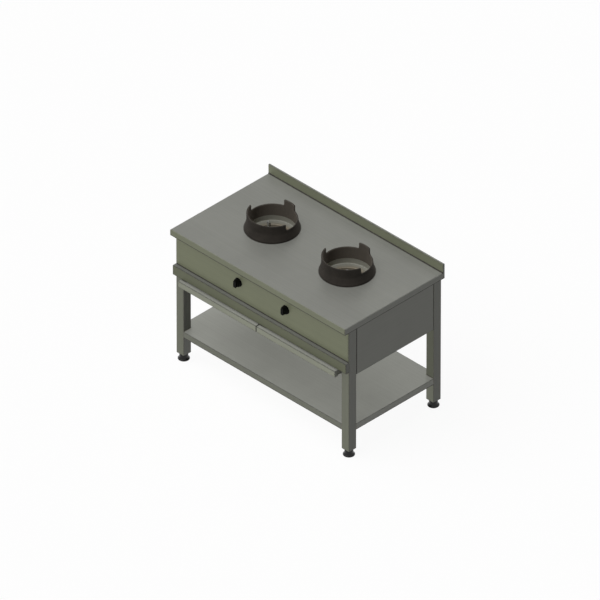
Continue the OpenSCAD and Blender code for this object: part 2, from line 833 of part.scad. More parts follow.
// Disc that slides on the injector's shank to set the burner's air
module air_shutter(side) {
    color(zinc) translate([side * burner_x, 0, gas_z]) difference() {
        union() {
            rod([0, shutter_at - shutter_t, 0], [0, shutter_at, 0], bell_r - 2);
            rod([0, shutter_at - shutter_hub_l, 0], [0, shutter_at - EPS, 0], shutter_hub_r);
        }
        rod([0, shutter_at - shutter_hub_l - OVER, 0], [0, shutter_at + OVER, 0], injector_r + run_fit);
    }
}

// Injector: nozzle in the mouth, shank in the bridge, hexagon behind
module injector(side) {
    color(brass) translate([side * burner_x, 0, gas_z]) {
        rod([0, mouth_y - shank_l, 0], [0, mouth_y + bridge_t, 0], injector_r);
        facing([0, mouth_y + bridge_t, 0], [0, 1, 0]) cylinder(h = 12, r1 = 6, r2 = 3);
        nut([0, injector_back, 0], [0, mouth_y - shank_l + EPS, 0], 12.7);
    }
}

// Gas train

// Gas tube for the right-hand burner, from the valve's rear to the injector
module gas_tube() {
    color(copper) tube_run([
        [knob_x, valve_back + nut_l, gas_z], [knob_x, gas_turn_y, gas_z],
        [burner_x, gas_turn_y, gas_z], [burner_x, injector_back, gas_z]], tube_bend_r, gas_tube_r);
}

// Valve for the right-hand burner, clamped round the manifold
module gas_valve() {
    color(brass) translate([knob_x, 0, gas_z]) difference() {
        union() {
            span([-valve_half, valve_front, manifold_z - gas_z - 18], [valve_half, valve_back, 20]);
            rod([0, bonnet_front, 0], [0, valve_front + EPS, 0], bonnet_r);
            nut([0, valve_back - EPS, 0], [0, valve_back + nut_l, 0], 12);
        }
        rod([-valve_half - OVER, manifold_y, manifold_z - gas_z],
            [valve_half + OVER, manifold_y, manifold_z - gas_z], pipe_r + run_fit);
        rod([0, bonnet_front - OVER, 0], [0, sleeve_back + bore_room, 0], sleeve_r + run_fit);
        rod([0, bonnet_front, 0], [0, spindle_back + bore_room, 0], spindle_r + run_fit);
    }
}

// Sprung sleeve round the spindle, which the knob pushes in
module valve_sleeve(side) {
    color(zinc) translate([side * knob_x, 0, gas_z]) difference() {
        rod([0, sleeve_front, 0], [0, sleeve_back, 0], sleeve_r);
        rod([0, sleeve_front - OVER, 0], [0, sleeve_back + OVER, 0], spindle_r + run_fit);
    }
}

module valve_spindle(side) {
    color(brass) translate([side * knob_x, 0, gas_z])
        rod([0, spindle_front, 0], [0, spindle_back, 0], spindle_r);
}

// Knob: hub, skirt, low cone and a broad upright grip across its face
module knob(side) {
    bar_w = 0.85 * knob_r;
    bar_l = 2 * knob_r - 6;
    color(black) translate([side * knob_x, 0, gas_z]) difference() {
        union() {
            rod([0, hub_front, 0], [0, knob_back - EPS, 0], sleeve_r + 1);
            rod([0, grip_back, 0], [0, knob_back, 0], knob_r);
            facing([0, grip_back + EPS, 0], [0, -1, 0]) cylinder(h = grip_back - knob_front - 8, r1 = knob_r - 5, r2 = knob_r - 8);
            bar_y(knob_front, grip_back + EPS) round_rect(bar_w, bar_l, 7);
        }
        rod([0, hub_front + OVER, 0], [0, spindle_front - seat_gap, 0], spindle_r + run_fit);
    }
}

module knob_bezels() {
    color(black)
    for (side = [LEFT, RIGHT]) translate([side * knob_x, 0, gas_z]) difference() {
        rod([0, panel_face - bezel_t, 0], [0, panel_face, 0], bezel_r);
        rod([0, panel_face - bezel_t - OVER, 0], [0, panel_face + OVER, 0], sleeve_r + 2);
    }
}

manifold_end = -knob_x - manifold_past;
elbow_x = inlet_x - pipe_bend_r - 30;

// Manifold behind the panel, capped at its left end, with a union at its right end
module gas_manifold() {
    color(steel) {
        rod([manifold_end, manifold_y, manifold_z], [elbow_x, manifold_y, manifold_z], pipe_r);
        nut([manifold_end - 14, manifold_y, manifold_z], [manifold_end + 4, manifold_y, manifold_z], pipe_r + 5);
        nut([elbow_x - 14, manifold_y, manifold_z], [elbow_x, manifold_y, manifold_z], pipe_r + 6);
    }
}

// Inlet pipe: from the union round the right-hand corner and out through the rear panel
module gas_inlet_pipe() {
    y_nut = y_rear_face - panel_t - seat_gap / 3;
    color(steel) {
        tube_run([[elbow_x, manifold_y, manifold_z], [inlet_x, manifold_y, manifold_z],
            [inlet_x, y_nut, manifold_z]], pipe_bend_r, pipe_r);
        nut([inlet_x, y_nut - 9, manifold_z], [inlet_x, y_nut, manifold_z], pipe_r + 6);
        difference() {
            union() {
                rod([inlet_x, y_nut - EPS, manifold_z], [inlet_x, inlet_end - inlet_l + EPS, manifold_z], pipe_r);
                rod([inlet_x, inlet_end - inlet_l, manifold_z], [inlet_x, inlet_end, manifold_z], inlet_r);
            }
            rod([inlet_x, inlet_end - 40, manifold_z], [inlet_x, inlet_end + OVER, manifold_z], inlet_r - 2.6);
        }
    }
}

// Stands that carry the manifold on the front tray rail
module manifold_brackets() {
    width = 30;
    ring_r = pipe_r + 4;
    color(steel)
    for (x = [5 * width - knob_x, elbow_x - 2 * width]) difference() {
        union() {
            span([x, manifold_y - rail_s / 2 + 2, low_rail_top], [x + width, manifold_y + rail_s / 2 - 2, low_rail_top + 3]);
            span([x, manifold_y - 2, low_rail_top], [x + width, manifold_y + 2, manifold_z]);
            rod([x, manifold_y, manifold_z], [x + width, manifold_y, manifold_z], ring_r);
        }
        rod([x - OVER, manifold_y, manifold_z], [x + width + OVER, manifold_y, manifold_z], pipe_r + run_fit);
    }
}

// Pilots, drawn for the right-hand burner

module pilot_bracket() {
    reach = norm([pilot_dx, pilot_dy]);
    translate([burner_x, burner_y, arm_z]) linear_extrude(arm_t) difference() {
        union() {
            circle(r = mixer_r + 9);
            rotate(atan2(pilot_dy, pilot_dx)) translate([0, -10]) square([reach, 20]);
            translate([pilot_dx - tip_dx - 9, pilot_dy - 10]) square([tip_dx + 18, 20]);
        }
        circle(r = mixer_r + run_fit);
        translate([pilot_dx, pilot_dy]) circle(r = pilot_r + run_fit);
        translate([pilot_dx - tip_dx, pilot_dy]) circle(r = tip_r + run_fit);
    }
}

module pilot_brackets() { color(steel) for (side = [LEFT, RIGHT]) on_side(side) pilot_bracket(); }

// Pilot: tube with a nut under the bracket and a slotted hood that faces the crown
module pilot_burner() {
    color(zinc) translate([burner_x + pilot_dx, burner_y + pilot_dy, 0]) {
        nut([0, 0, arm_z - 12], [0, 0, arm_z], 8);
        rod([0, 0, arm_z - 12], [0, 0, pilot_top - 14], pilot_r);
        difference() {
            rod([0, 0, pilot_top - 16], [0, 0, pilot_top], pilot_r + 2);
            rod([0, 0, pilot_top - 12], [0, 0, pilot_top - 2], pilot_r);
            rotate([0, 0, atan2(-pilot_dy, -pilot_dx)]) translate([0, -3, pilot_top - 11]) cube([12, 6, 8]);
        }
    }
}

module pilot_tubes() {
    color(copper) for (side = [LEFT, RIGHT]) on_side(side) tube_run([
        [burner_x + pilot_dx, burner_y + pilot_dy, arm_z - 12],
        [burner_x + pilot_dx, burner_y + pilot_dy, pilot_run_z],
        [burner_x + pilot_dx, injector_back - 12, pilot_run_z],
        [knob_x + 12, injector_back - 12, pilot_run_z],
        [knob_x + 12, valve_back, pilot_run_z]], small_bend_r, pilot_tube_r);
}

// Thermocouples: a tip beside each pilot, a nut under the bracket and a lead to the valve
module thermocouples() {
    x_tip = burner_x + pilot_dx - tip_dx;
    y_tip = burner_y + pilot_dy;
    color(copper) for (side = [LEFT, RIGHT]) on_side(side) {
        rod([x_tip, y_tip, arm_z - 10], [x_tip, y_tip, tip_top], tip_r);
        nut([x_tip, y_tip, arm_z - 8], [x_tip, y_tip, arm_z], 5.5);
        tube_run([
            [x_tip, y_tip, arm_z - 9], [x_tip, y_tip, lead_run_z],
            [x_tip, injector_back - 4, lead_run_z], [knob_x - 12, injector_back - 4, lead_run_z],
            [knob_x - 12, valve_back, lead_run_z]], small_bend_r, lead_r);
    }
}

worktop();
deck_stiffeners();
top_frame();
tray_rails();
leg(-leg_x, leg_y_front);  // leg_front_left
leg(leg_x, leg_y_front);  // leg_front_right
leg(-leg_x, leg_y_rear);  // leg_rear_left
leg(leg_x, leg_y_rear);  // leg_rear_right
leg_plugs();
levelling_foot(-leg_x, leg_y_front);  // foot_front_left
levelling_foot(leg_x, leg_y_front);  // foot_front_right
levelling_foot(-leg_x, leg_y_rear);  // foot_rear_left
levelling_foot(leg_x, leg_y_rear);  // foot_rear_right
control_panel();
panel_guard();
on_side(LEFT) side_panel();  // side_panel_left
on_side(RIGHT) side_panel();  // side_panel_right
rear_panel();
rear_panel_screws();
lower_shelf();
shelf_stiffener();
on_side(LEFT) drip_tray();  // drip_tray_left
on_side(RIGHT) drip_tray();  // drip_tray_right
on_side(LEFT) side_runner();  // runner_left
centre_runner();  // runner_centre
on_side(RIGHT) side_runner();  // runner_right
wok_ring(LEFT);  // wok_ring_left
wok_ring(RIGHT);  // wok_ring_right
burner_well(LEFT);  // burner_well_left
burner_well(RIGHT);  // burner_well_right
burner_body(LEFT);  // burner_body_left
burner_body(RIGHT);  // burner_body_right
burner_crown(LEFT);  // burner_crown_left
burner_crown(RIGHT);  // burner_crown_right
burner_cradle(LEFT);  // burner_cradle_left
burner_cradle(RIGHT);  // burner_cradle_right
cradle_bolts();
air_shutter(LEFT);  // air_shutter_left
air_shutter(RIGHT);  // air_shutter_right
injector(LEFT);  // injector_left
injector(RIGHT);  // injector_right
on_side(LEFT) gas_tube();  // gas_tube_left
on_side(RIGHT) gas_tube();  // gas_tube_right
on_side(LEFT) gas_valve();  // gas_valve_left
on_side(RIGHT) gas_valve();  // gas_valve_right
valve_sleeve(LEFT);  // valve_sleeve_left
valve_sleeve(RIGHT);  // valve_sleeve_right
valve_spindle(LEFT);  // valve_spindle_left
valve_spindle(RIGHT);  // valve_spindle_right
knob(LEFT);  // knob_left
knob(RIGHT);  // knob_right
knob_bezels();
gas_manifold();
manifold_brackets();
gas_inlet_pipe();
on_side(LEFT) pilot_burner();  // pilot_burner_left
on_side(RIGHT) pilot_burner();  // pilot_burner_right
pilot_brackets();
pilot_tubes();
thermocouples();
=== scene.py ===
import math

import bpy
import numpy as np
from mathutils import Matrix


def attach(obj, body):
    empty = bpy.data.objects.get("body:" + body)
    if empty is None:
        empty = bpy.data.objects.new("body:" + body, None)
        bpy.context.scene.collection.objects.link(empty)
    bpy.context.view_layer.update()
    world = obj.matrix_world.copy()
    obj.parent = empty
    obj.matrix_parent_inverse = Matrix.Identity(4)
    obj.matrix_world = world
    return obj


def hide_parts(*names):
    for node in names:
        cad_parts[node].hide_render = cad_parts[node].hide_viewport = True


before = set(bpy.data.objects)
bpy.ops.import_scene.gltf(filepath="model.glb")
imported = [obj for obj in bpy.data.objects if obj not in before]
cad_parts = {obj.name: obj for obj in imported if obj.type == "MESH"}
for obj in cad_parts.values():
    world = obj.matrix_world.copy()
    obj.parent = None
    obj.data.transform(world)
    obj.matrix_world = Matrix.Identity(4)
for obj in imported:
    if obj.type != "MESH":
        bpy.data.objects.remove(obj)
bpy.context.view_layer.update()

# Viewpoint: an isometric view from the front right corner, 35.26 degrees above the floor. A very
# long lens stands in for its parallel projection.
LENS, SENSOR, VIEW_WIDTH = 1500.0, 36.0, 3.407
AIM_RIGHT, AIM_UP, AIM_BACK = -0.0375, 0.4696, 0.2815


def placed(obj, across, upward, backward, centre=(0, 0, 0)):
    """Puts an object in the scene at a centre, its own X, Y and Z along three given directions."""
    turn = np.eye(4)
    turn[:3, 0], turn[:3, 1], turn[:3, 2], turn[:3, 3] = across, upward, backward, centre
    obj.matrix_world = Matrix(turn.tolist())
    bpy.context.scene.collection.objects.link(obj)


view_right = np.array([1, 1, 0]) / math.sqrt(2)
view_back = np.array([1, -1, 1]) / math.sqrt(3)
view_up = np.cross(view_back, view_right)
distance = VIEW_WIDTH * LENS / SENSOR
camera = bpy.data.objects.new("camera", bpy.data.cameras.new("camera"))
camera.data.lens, camera.data.sensor_width = LENS, SENSOR
camera.data.clip_start, camera.data.clip_end = 1.0, 3 * distance
placed(camera, view_right, view_up, view_back,
       AIM_RIGHT * view_right + AIM_UP * view_up + (AIM_BACK + distance) * view_back)
bpy.context.scene.camera = camera
bpy.context.scene.view_settings.view_transform = "Standard"

# Studio: a white floor and backdrop, with a faint shadow under the object. One wide lamp high on
# the left of the front casts the soft shadows. Plain fills from above and from three sides cast
# none, and the steel doesn't mirror them, because from low down they would glare on the worktop.
FILL = 0.07
FLOOR_BOUNCE = 0.28
FLOOR_WHITE = 0.80
FLOOR_HALF = 60.0
LAMPS = (
    # direction, strength, width in degrees, whether it casts shadows and is mirrored
    ((-0.30, -0.42, 0.88), 0.24, 60, True),
    ((0.00, 0.00, 1.00), 0.55, 5, False),
    ((0.00, -1.00, 0.10), 0.40, 5, False),
    ((-1.00, 0.00, 0.10), 0.30, 5, False),
    ((0.00, 1.00, 0.10), 0.32, 5, False),
)
NO_LAMP = (0.1, 1, 0.2)


def adder(tree):
    """Puts nodes in a tree. A keyword in lower case is a property, and any other is an input, with _
    for a space and __1 for the second enabled input of that name."""
    def add(kind, **values):
        """Adds one node of the kind and gives it back."""
        node = tree.nodes.new("ShaderNode" + kind)
        for key, value in values.items():
            if key[0].islower():
                setattr(node, key, value)
        for key, value in values.items():
            if key[0].islower():
                continue
            name, _, place = key.partition("__")
            wanted = [s for s in node.inputs if s.name == name.replace("_", " ") and s.enabled]
            socket = wanted[int(place or 0)]
            if isinstance(value, bpy.types.NodeSocket):
                tree.links.new(value, socket)
            else:
                socket.default_value = value
        return node
    return add


def nodes_of(name):
    """A new empty material and its node adder."""
    material = bpy.data.materials.new(name)
    material.use_nodes = True
    material.node_tree.nodes.clear()
    return material, adder(material.node_tree)


def seen_directly(add):
    """1 for camera, glossy and transmission rays, which see the studio white, and 0 for the rest."""
    path = add("LightPath")
    some = add("Math", operation="MAXIMUM", Value=path.outputs["Is Camera Ray"],
               Value__1=path.outputs["Is Glossy Ray"])
    return add("Math", operation="MAXIMUM", Value=some.outputs[0],
               Value__1=path.outputs["Is Transmission Ray"]).outputs[0]


world = bpy.data.worlds.new("studio")
bpy.context.scene.world = world
world.use_nodes = True
world.node_tree.nodes.clear()
add = adder(world.node_tree)
level = add("MapRange", Value=seen_directly(add), To_Min=FILL, To_Max=1.0)
sky = add("Background", Color=(1, 1, 1, 1), Strength=level.outputs[0])
add("OutputWorld", Surface=sky.outputs[0])

floor_paint, add = nodes_of("floor_paint")
direct = seen_directly(add)
tone = add("MapRange", Value=direct, To_Min=FLOOR_BOUNCE, To_Max=1.0)
paint = add("BsdfDiffuse", Color=tone.outputs[0])
glow = add("Emission", Color=(1, 1, 1, 1), Strength=1.0)
share = add("Math", operation="MULTIPLY", Value=direct, Value__1=FLOOR_WHITE)
floor_look = add("MixShader", Fac=share.outputs[0], Shader=paint.outputs[0], Shader__1=glow.outputs[0])
add("OutputMaterial", Surface=floor_look.outputs[0])
floor_mesh = bpy.data.meshes.new("floor")
corners = [(x * FLOOR_HALF, y * FLOOR_HALF, 0) for x, y in ((-1, -1), (1, -1), (1, 1), (-1, 1))]
floor_mesh.from_pydata(corners, [], [(0, 1, 2, 3)])
floor = bpy.data.objects.new("floor", floor_mesh)
bpy.context.scene.collection.objects.link(floor)
floor.data.materials.append(floor_paint)

for number, (direction, strength, width, shadow) in enumerate(LAMPS):
    lamp = bpy.data.objects.new(f"lamp_{number}", bpy.data.lights.new(f"lamp_{number}", "SUN"))
    lamp.data.energy, lamp.data.angle = math.pi * strength, math.radians(width)
    lamp.data.use_shadow = shadow
    lamp.visible_glossy = shadow
    towards = np.array(direction) / np.linalg.norm(direction)
    sideways = np.cross(NO_LAMP, towards)
    sideways /= np.linalg.norm(sideways)
    placed(lamp, sideways, np.cross(towards, sideways), towards)

# Legs: four 60 mm square tubes of brushed stainless steel. The grain of the polishing belt runs
# along each tube, and painted shade darkens the corners and folds.


def value_group(name, inputs, outputs):
    """An empty node group with inputs (name, kind, default) and outputs (name, kind). Gives the group,
    its node adder, its inputs, and a function that joins a value to an output."""
    group = bpy.data.node_groups.new(name, "ShaderNodeTree")
    for label, kind, default in inputs:
        socket = group.interface.new_socket(label, in_out="INPUT", socket_type="NodeSocket" + kind)
        socket.default_value = default
    for label, kind in outputs:
        group.interface.new_socket(label, in_out="OUTPUT", socket_type="NodeSocket" + kind)
    entry = group.nodes.new("NodeGroupInput")
    leave = group.nodes.new("NodeGroupOutput")

    def give(label, output):
        """Joins a value to the group's output of that name."""
        group.links.new(output, leave.inputs[label])
    return group, adder(group), entry.outputs, give


FOLDED_FROM, BROAD_SCALE = 0.7, 0.12
# Brushed grain: noise drawn out along one axis, and along another on faces that are folded down
grain_group, add, given, give = value_group(
    "brushed_grain",
    [("Position", "Vector", (0, 0, 0)), ("Facing", "Vector", (0, 0, 1)),
     ("Stretch", "Vector", (3, 900, 900)), ("Folded Stretch", "Vector", (900, 900, 3)),
     ("Fold Axis", "Vector", (1, 0, 0))],
    [("Grain", "Float"), ("Cloud", "Float")])
side = add("VectorMath", operation="DOT_PRODUCT", Vector=given["Facing"], Vector__1=given["Fold Axis"])
side = add("Math", operation="ABSOLUTE", Value=side.outputs["Value"])
side = add("Math", operation="GREATER_THAN", Value=side.outputs[0], Value__1=FOLDED_FROM)
stretch = add("Mix", data_type="VECTOR", Factor=side.outputs[0], A=given["Stretch"],
              B=given["Folded Stretch"])
drawn = add("VectorMath", operation="MULTIPLY", Vector=given["Position"], Vector__1=stretch.outputs[1])
fine = add("TexNoise", Vector=drawn.outputs[0], Scale=1.0, Detail=3.0, Roughness=0.65)
wide = add("VectorMath", operation="SCALE", Vector=drawn.outputs[0], Scale=BROAD_SCALE)
broad = add("TexNoise", Vector=wide.outputs[0], Scale=1.0, Detail=2.0, Roughness=0.5)
both = add("Math", operation="ADD", Value=fine.outputs["Fac"], Value__1=broad.outputs["Fac"])
cloud = add("TexNoise", Vector=given["Position"], Scale=3.2, Detail=4.0, Roughness=0.55, Distortion=0.4)
give("Grain", add("MapRange", Value=both.outputs[0], From_Min=0.6, From_Max=1.4).outputs[0])
give("Cloud", add("MapRange", Value=cloud.outputs["Fac"], From_Min=0.3, From_Max=0.7).outputs[0])

# Edges: where a rounded normal leaves the flat one, an edge or a corner is near. It guides rubbed wear and
# painted shade
edge_group, add, given, give = value_group(
    "edge_wear_and_shade", [("Reach", "Float", 0.001), ("Sharpness", "Float", 6.0)],
    [("Edge", "Float"), ("Normal", "Vector")])
rounded = add("Bevel", samples=4, Radius=given["Reach"])
flat = add("NewGeometry")
along = add("VectorMath", operation="DOT_PRODUCT", Vector=rounded.outputs[0],
            Vector__1=flat.outputs["Normal"])
gone = add("Math", operation="SUBTRACT", Value=1.0, Value__1=along.outputs["Value"])
give("Edge", add("Math", operation="MULTIPLY", Value=gone.outputs[0], Value__1=given["Sharpness"],
                 use_clamp=True).outputs[0])
give("Normal", rounded.outputs[0])

# Slab: 1 inside a box of object space, with soft sides, for painted shade that keeps to one place
slab_group, add, given, give = value_group(
    "slab", [("Position", "Vector", (0, 0, 0)), ("Middle", "Vector", (0, 0, 0)),
             ("Half", "Vector", (1, 1, 1)), ("Softness", "Float", 0.001)], [("Inside", "Float")])
off = add("VectorMath", operation="SUBTRACT", Vector=given["Position"], Vector__1=given["Middle"])
off = add("VectorMath", operation="ABSOLUTE", Vector=off.outputs[0])
room = add("VectorMath", operation="SUBTRACT", Vector=given["Half"], Vector__1=off.outputs[0])
parts = add("SeparateXYZ", Vector=room.outputs[0])
least = add("Math", operation="MINIMUM", Value=parts.outputs[0], Value__1=parts.outputs[1])
least = add("Math", operation="MINIMUM", Value=least.outputs[0], Value__1=parts.outputs[2])
give("Inside", add("MapRange", Value=least.outputs[0], From_Min=0.0, From_Max=given["Softness"]).outputs[0])

STEEL = (0.228, 0.231, 0.210)
# Painted shade: faces to the front are tinted olive and darkened by this colour, as the light falls on them
PAINTED_FRONT_TINT = (0.93, 0.97, 0.72)
METAL = 0.25


def painted_light_steel(share):
    """The steel's colour made lighter or darker: a copy that paints light or shade on one part."""
    return tuple(c * share for c in STEEL)


# Painted shade: the dark colour painted in joints, under edges and round each wok ring
PAINTED_SHADE = (0.050, 0.048, 0.042, 1)
# Painted shade: edges and folds darken to FOLD_TONE of the steel, over FOLD_REACH
FOLD_REACH, FOLD_TONE, FOLD_SHARPNESS, FOLD_SHARE = 0.0055, 0.30, 16.0, 0.9
GRAIN_TONE, GRAIN_ROUGH, WIPED_ROUGH = 0.07, 0.10, (0.34, 0.44)
SEAM_SOFTNESS, RING_SHADE_FULL, RING_SHADE_END, RAGGED = 0.0006, 0.0005, 0.0045, 0.003


def axis_distance(add, position, x, y):
    """Distance from the nearer of two upright axes, at x and -x."""
    parts = add("SeparateXYZ", Vector=position)
    across = add("Math", operation="ABSOLUTE", Value=parts.outputs[0])
    across = add("Math", operation="SUBTRACT", Value=across.outputs[0], Value__1=x)
    along = add("Math", operation="SUBTRACT", Value=parts.outputs[1], Value__1=y)
    level = add("CombineXYZ", X=across.outputs[0], Y=along.outputs[0], Z=0.0)
    return add("VectorMath", operation="LENGTH", Vector=level.outputs[0]).outputs["Value"]


def brushed_steel(name, stretch, folded, axis, colour=STEEL, smudge=0.05, front_shade=0.0, front_tone=1.0,
                  shade_boxes=(), ring_shade=None):
    """Brushed stainless: the grain moves its colour and roughness a little, clouds of wiping move
    them wider, and faces to the front take a painted olive shade. Edges and folds are painted darker
    as shade, boxes (middle, half) of painted shade lie along joints and edges, and a line of painted
    shade lies round a ring at a place (x, y, radius), on both sides."""
    material, add = nodes_of(name)
    place = add("TexCoord")
    grain = add("Group", node_tree=grain_group, Position=place.outputs["Object"],
                Facing=place.outputs["Normal"], Stretch=stretch, Folded_Stretch=folded, Fold_Axis=axis)
    edge = add("Group", node_tree=edge_group, Reach=FOLD_REACH, Sharpness=FOLD_SHARPNESS)
    dark = tuple(c * (1 - smudge) for c in colour) + (1,)
    light = tuple(c * (1 + smudge) for c in colour) + (1,)
    fold_shade_colour = tuple(c * FOLD_TONE for c in colour) + (1,)
    mottled = add("Mix", data_type="RGBA", Factor=grain.outputs["Cloud"], A=dark, B=light)
    streak = add("MapRange", Value=grain.outputs["Grain"], To_Min=1 - GRAIN_TONE, To_Max=1 + GRAIN_TONE)
    paint = add("Mix", data_type="RGBA", blend_type="MULTIPLY", Factor=1.0, A=mottled.outputs[2],
                B=streak.outputs[0])
    # Painted shade: the olive tint and darkening on faces to the front
    if front_shade:
        front = add("VectorMath", operation="DOT_PRODUCT", Vector=place.outputs["Normal"],
                    Vector__1=(0, -1, 0))
        front = add("Math", operation="MULTIPLY", Value=front.outputs["Value"], Value__1=front_shade,
                    use_clamp=True)
        paint = add("Mix", data_type="RGBA", blend_type="MULTIPLY", Factor=front.outputs[0],
                    A=paint.outputs[2], B=tuple(c * front_tone for c in PAINTED_FRONT_TINT) + (1,))
    # Painted shade along the edges and folds
    fold_shade_mask = add("Math", operation="MULTIPLY", Value=edge.outputs["Edge"], Value__1=FOLD_SHARE)
    paint = add("Mix", data_type="RGBA", Factor=fold_shade_mask.outputs[0], A=paint.outputs[2], B=fold_shade_colour)
    # Painted shade in the boxes along joints and edges
    for middle, reach in shade_boxes:
        boxed_shade = add("Group", node_tree=slab_group, Position=place.outputs["Object"], Middle=middle,
                   Half=reach, Softness=SEAM_SOFTNESS)
        paint = add("Mix", data_type="RGBA", Factor=boxed_shade.outputs[0], A=paint.outputs[2], B=PAINTED_SHADE)
    # Painted shade: a ragged dark line round each wok ring's foot
    if ring_shade:
        ragged = add("Math", operation="MULTIPLY_ADD", Value=grain.outputs["Cloud"], Value__1=-RAGGED,
                     Value__2=axis_distance(add, place.outputs["Object"], *ring_shade[:2]))
        near = add("MapRange", Value=ragged.outputs[0], From_Min=ring_shade[2] + RING_SHADE_END,
                   From_Max=ring_shade[2] + RING_SHADE_FULL)
        paint = add("Mix", data_type="RGBA", Factor=near.outputs[0], A=paint.outputs[2], B=PAINTED_SHADE)
    wiped = add("MapRange", Value=grain.outputs["Cloud"], To_Min=WIPED_ROUGH[0], To_Max=WIPED_ROUGH[1])
    rough = add("Math", operation="MULTIPLY_ADD", Value=grain.outputs["Grain"], Value__1=GRAIN_ROUGH,
                Value__2=wiped.outputs[0])
    relief = add("Bump", Strength=0.25, Distance=0.0001, Height=grain.outputs["Grain"],
                 Normal=edge.outputs["Normal"])
    steel = add("BsdfPrincipled", Base_Color=paint.outputs[2], Metallic=METAL, Roughness=rough.outputs[0],
                Specular_IOR_Level=0.1, Normal=relief.outputs[0])
    add("OutputMaterial", Surface=steel.outputs[0])
    return material


def dress(material, *nodes):
    """Gives CAD nodes a finish in place of the plain one that they were packed with."""
    for name in nodes:
        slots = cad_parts[name].data.materials
        slots.clear()
        slots.append(material)


ALONG_X, ALONG_Y, ALONG_Z = (3, 900, 900), (900, 3, 900), (900, 900, 3)
# Bands of painted shade at seams and under edges: (middle, half). ALL_X and ALL_Y reach past the
# range's sides, and INSIDE_X and INSIDE_Y stop short of the legs' outer faces.
ALL_X, ALL_Y, INSIDE_X, INSIDE_Y = 0.72, 0.42, 0.6925, 0.353
UNDER_TOP = ((0.0, 0.0, 0.8722), (ALL_X, ALL_Y, 0.0034))
SHELF_SEAMS = (((0.0, 0.0, 0.2146), (INSIDE_X, INSIDE_Y, 0.0028)),
               ((0.0, 0.0, 0.1698), (INSIDE_X, INSIDE_Y, 0.0024)))
# Painted shade: the legs are a darker copy of the steel, with olive on front faces and bands of shade at
# joints
leg_steel = brushed_steel("leg_steel", ALONG_Z, ALONG_X, (0, 0, 1), colour=painted_light_steel(0.86), front_shade=0.55,
                          shade_boxes=(UNDER_TOP,) + SHELF_SEAMS)
dress(leg_steel, "leg_front_left", "leg_front_right", "leg_rear_left", "leg_rear_right")

# Levelling feet: glass-filled black nylon bells moulded on M12 stems, which screw into threaded
# plugs in the ends of the legs. They are screwed right in here, as the range stands.


def closed_shell(rows, ring=False):
    """Points and faces of a shell that is given as rows of points, each once round and closed on
    itself. A ring's last row joins its first, and otherwise each end is a fan to its row's middle."""
    count, around, _ = rows.shape
    points = rows.reshape(-1, 3)
    index = np.arange(count * around).reshape(count, around)
    upper, lower = (index, np.roll(index, -1, 0)) if ring else (index[:-1], index[1:])
    quads = np.stack([upper, lower, np.roll(lower, -1, 1), np.roll(upper, -1, 1)], -1)
    faces = quads.reshape(-1, 4).tolist()
    if not ring:
        points = np.vstack([points, rows[0].mean(0), rows[-1].mean(0)])
        first, last, pole = index[0], index[-1], np.full(around, count * around)
        faces += np.stack([first, np.roll(first, -1), pole], -1).tolist()
        faces += np.stack([np.roll(last, -1), last, pole + 1], -1).tolist()
    corners = np.array([(f[0], f[a], f[a + 1]) for f in faces for a in range(1, len(f) - 1)])
    a, b, c = points[corners[:, 0]], points[corners[:, 1]], points[corners[:, 2]]
    if (a * np.cross(b, c)).sum() < 0:
        faces = [f[::-1] for f in faces]
    return points, faces


def piece(name, shells, material, body, slot, *stands_for, crease=35):
    """One object of closed shells that rides on a body, in place of the CAD nodes that it stands for."""
    points, faces, start = [], [], 0
    for shell_points, shell_faces in shells:
        points.append(shell_points)
        faces += [[v + start for v in f] for f in shell_faces]
        start += len(shell_points)
    mesh = bpy.data.meshes.new(name)
    mesh.from_pydata(np.vstack(points).tolist(), [], faces)
    mesh.shade_smooth()
    mesh.set_sharp_from_angle(angle=math.radians(crease))
    mesh.materials.append(material)
    obj = bpy.data.objects.new(name, mesh)
    bpy.context.scene.collection.objects.link(obj)
    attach(obj, body)
    if stands_for:
        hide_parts(*stands_for)
    return obj


def turned(radius, height, around, middle=(0, 0, 0), axis="z"):
    """Rows of a turned shape: radius (rows, 1 or around) and height (rows) about an upright axis, or
    about one that points back."""
    angle = np.linspace(0, 2 * math.pi, around, endpoint=False)
    radius = np.broadcast_to(np.asarray(radius, float).reshape(len(height), -1), (len(height), around))
    x, y = radius * np.cos(angle), radius * np.sin(angle)
    h = np.broadcast_to(np.asarray(height, float)[:, None], x.shape)
    rows = np.stack([x, y, h] if axis == "z" else [x, h, y], -1)
    return rows + np.asarray(middle)


SOOT, SOOT_FADE, LIT_INSIDE_FADE = (0.016, 0.013, 0.011, 1), 0.012, 0.001
BLOTCH_SCALE, BLOTCH_SHARE, ROUGH_SPREAD = 0.03, 0.7, 0.08


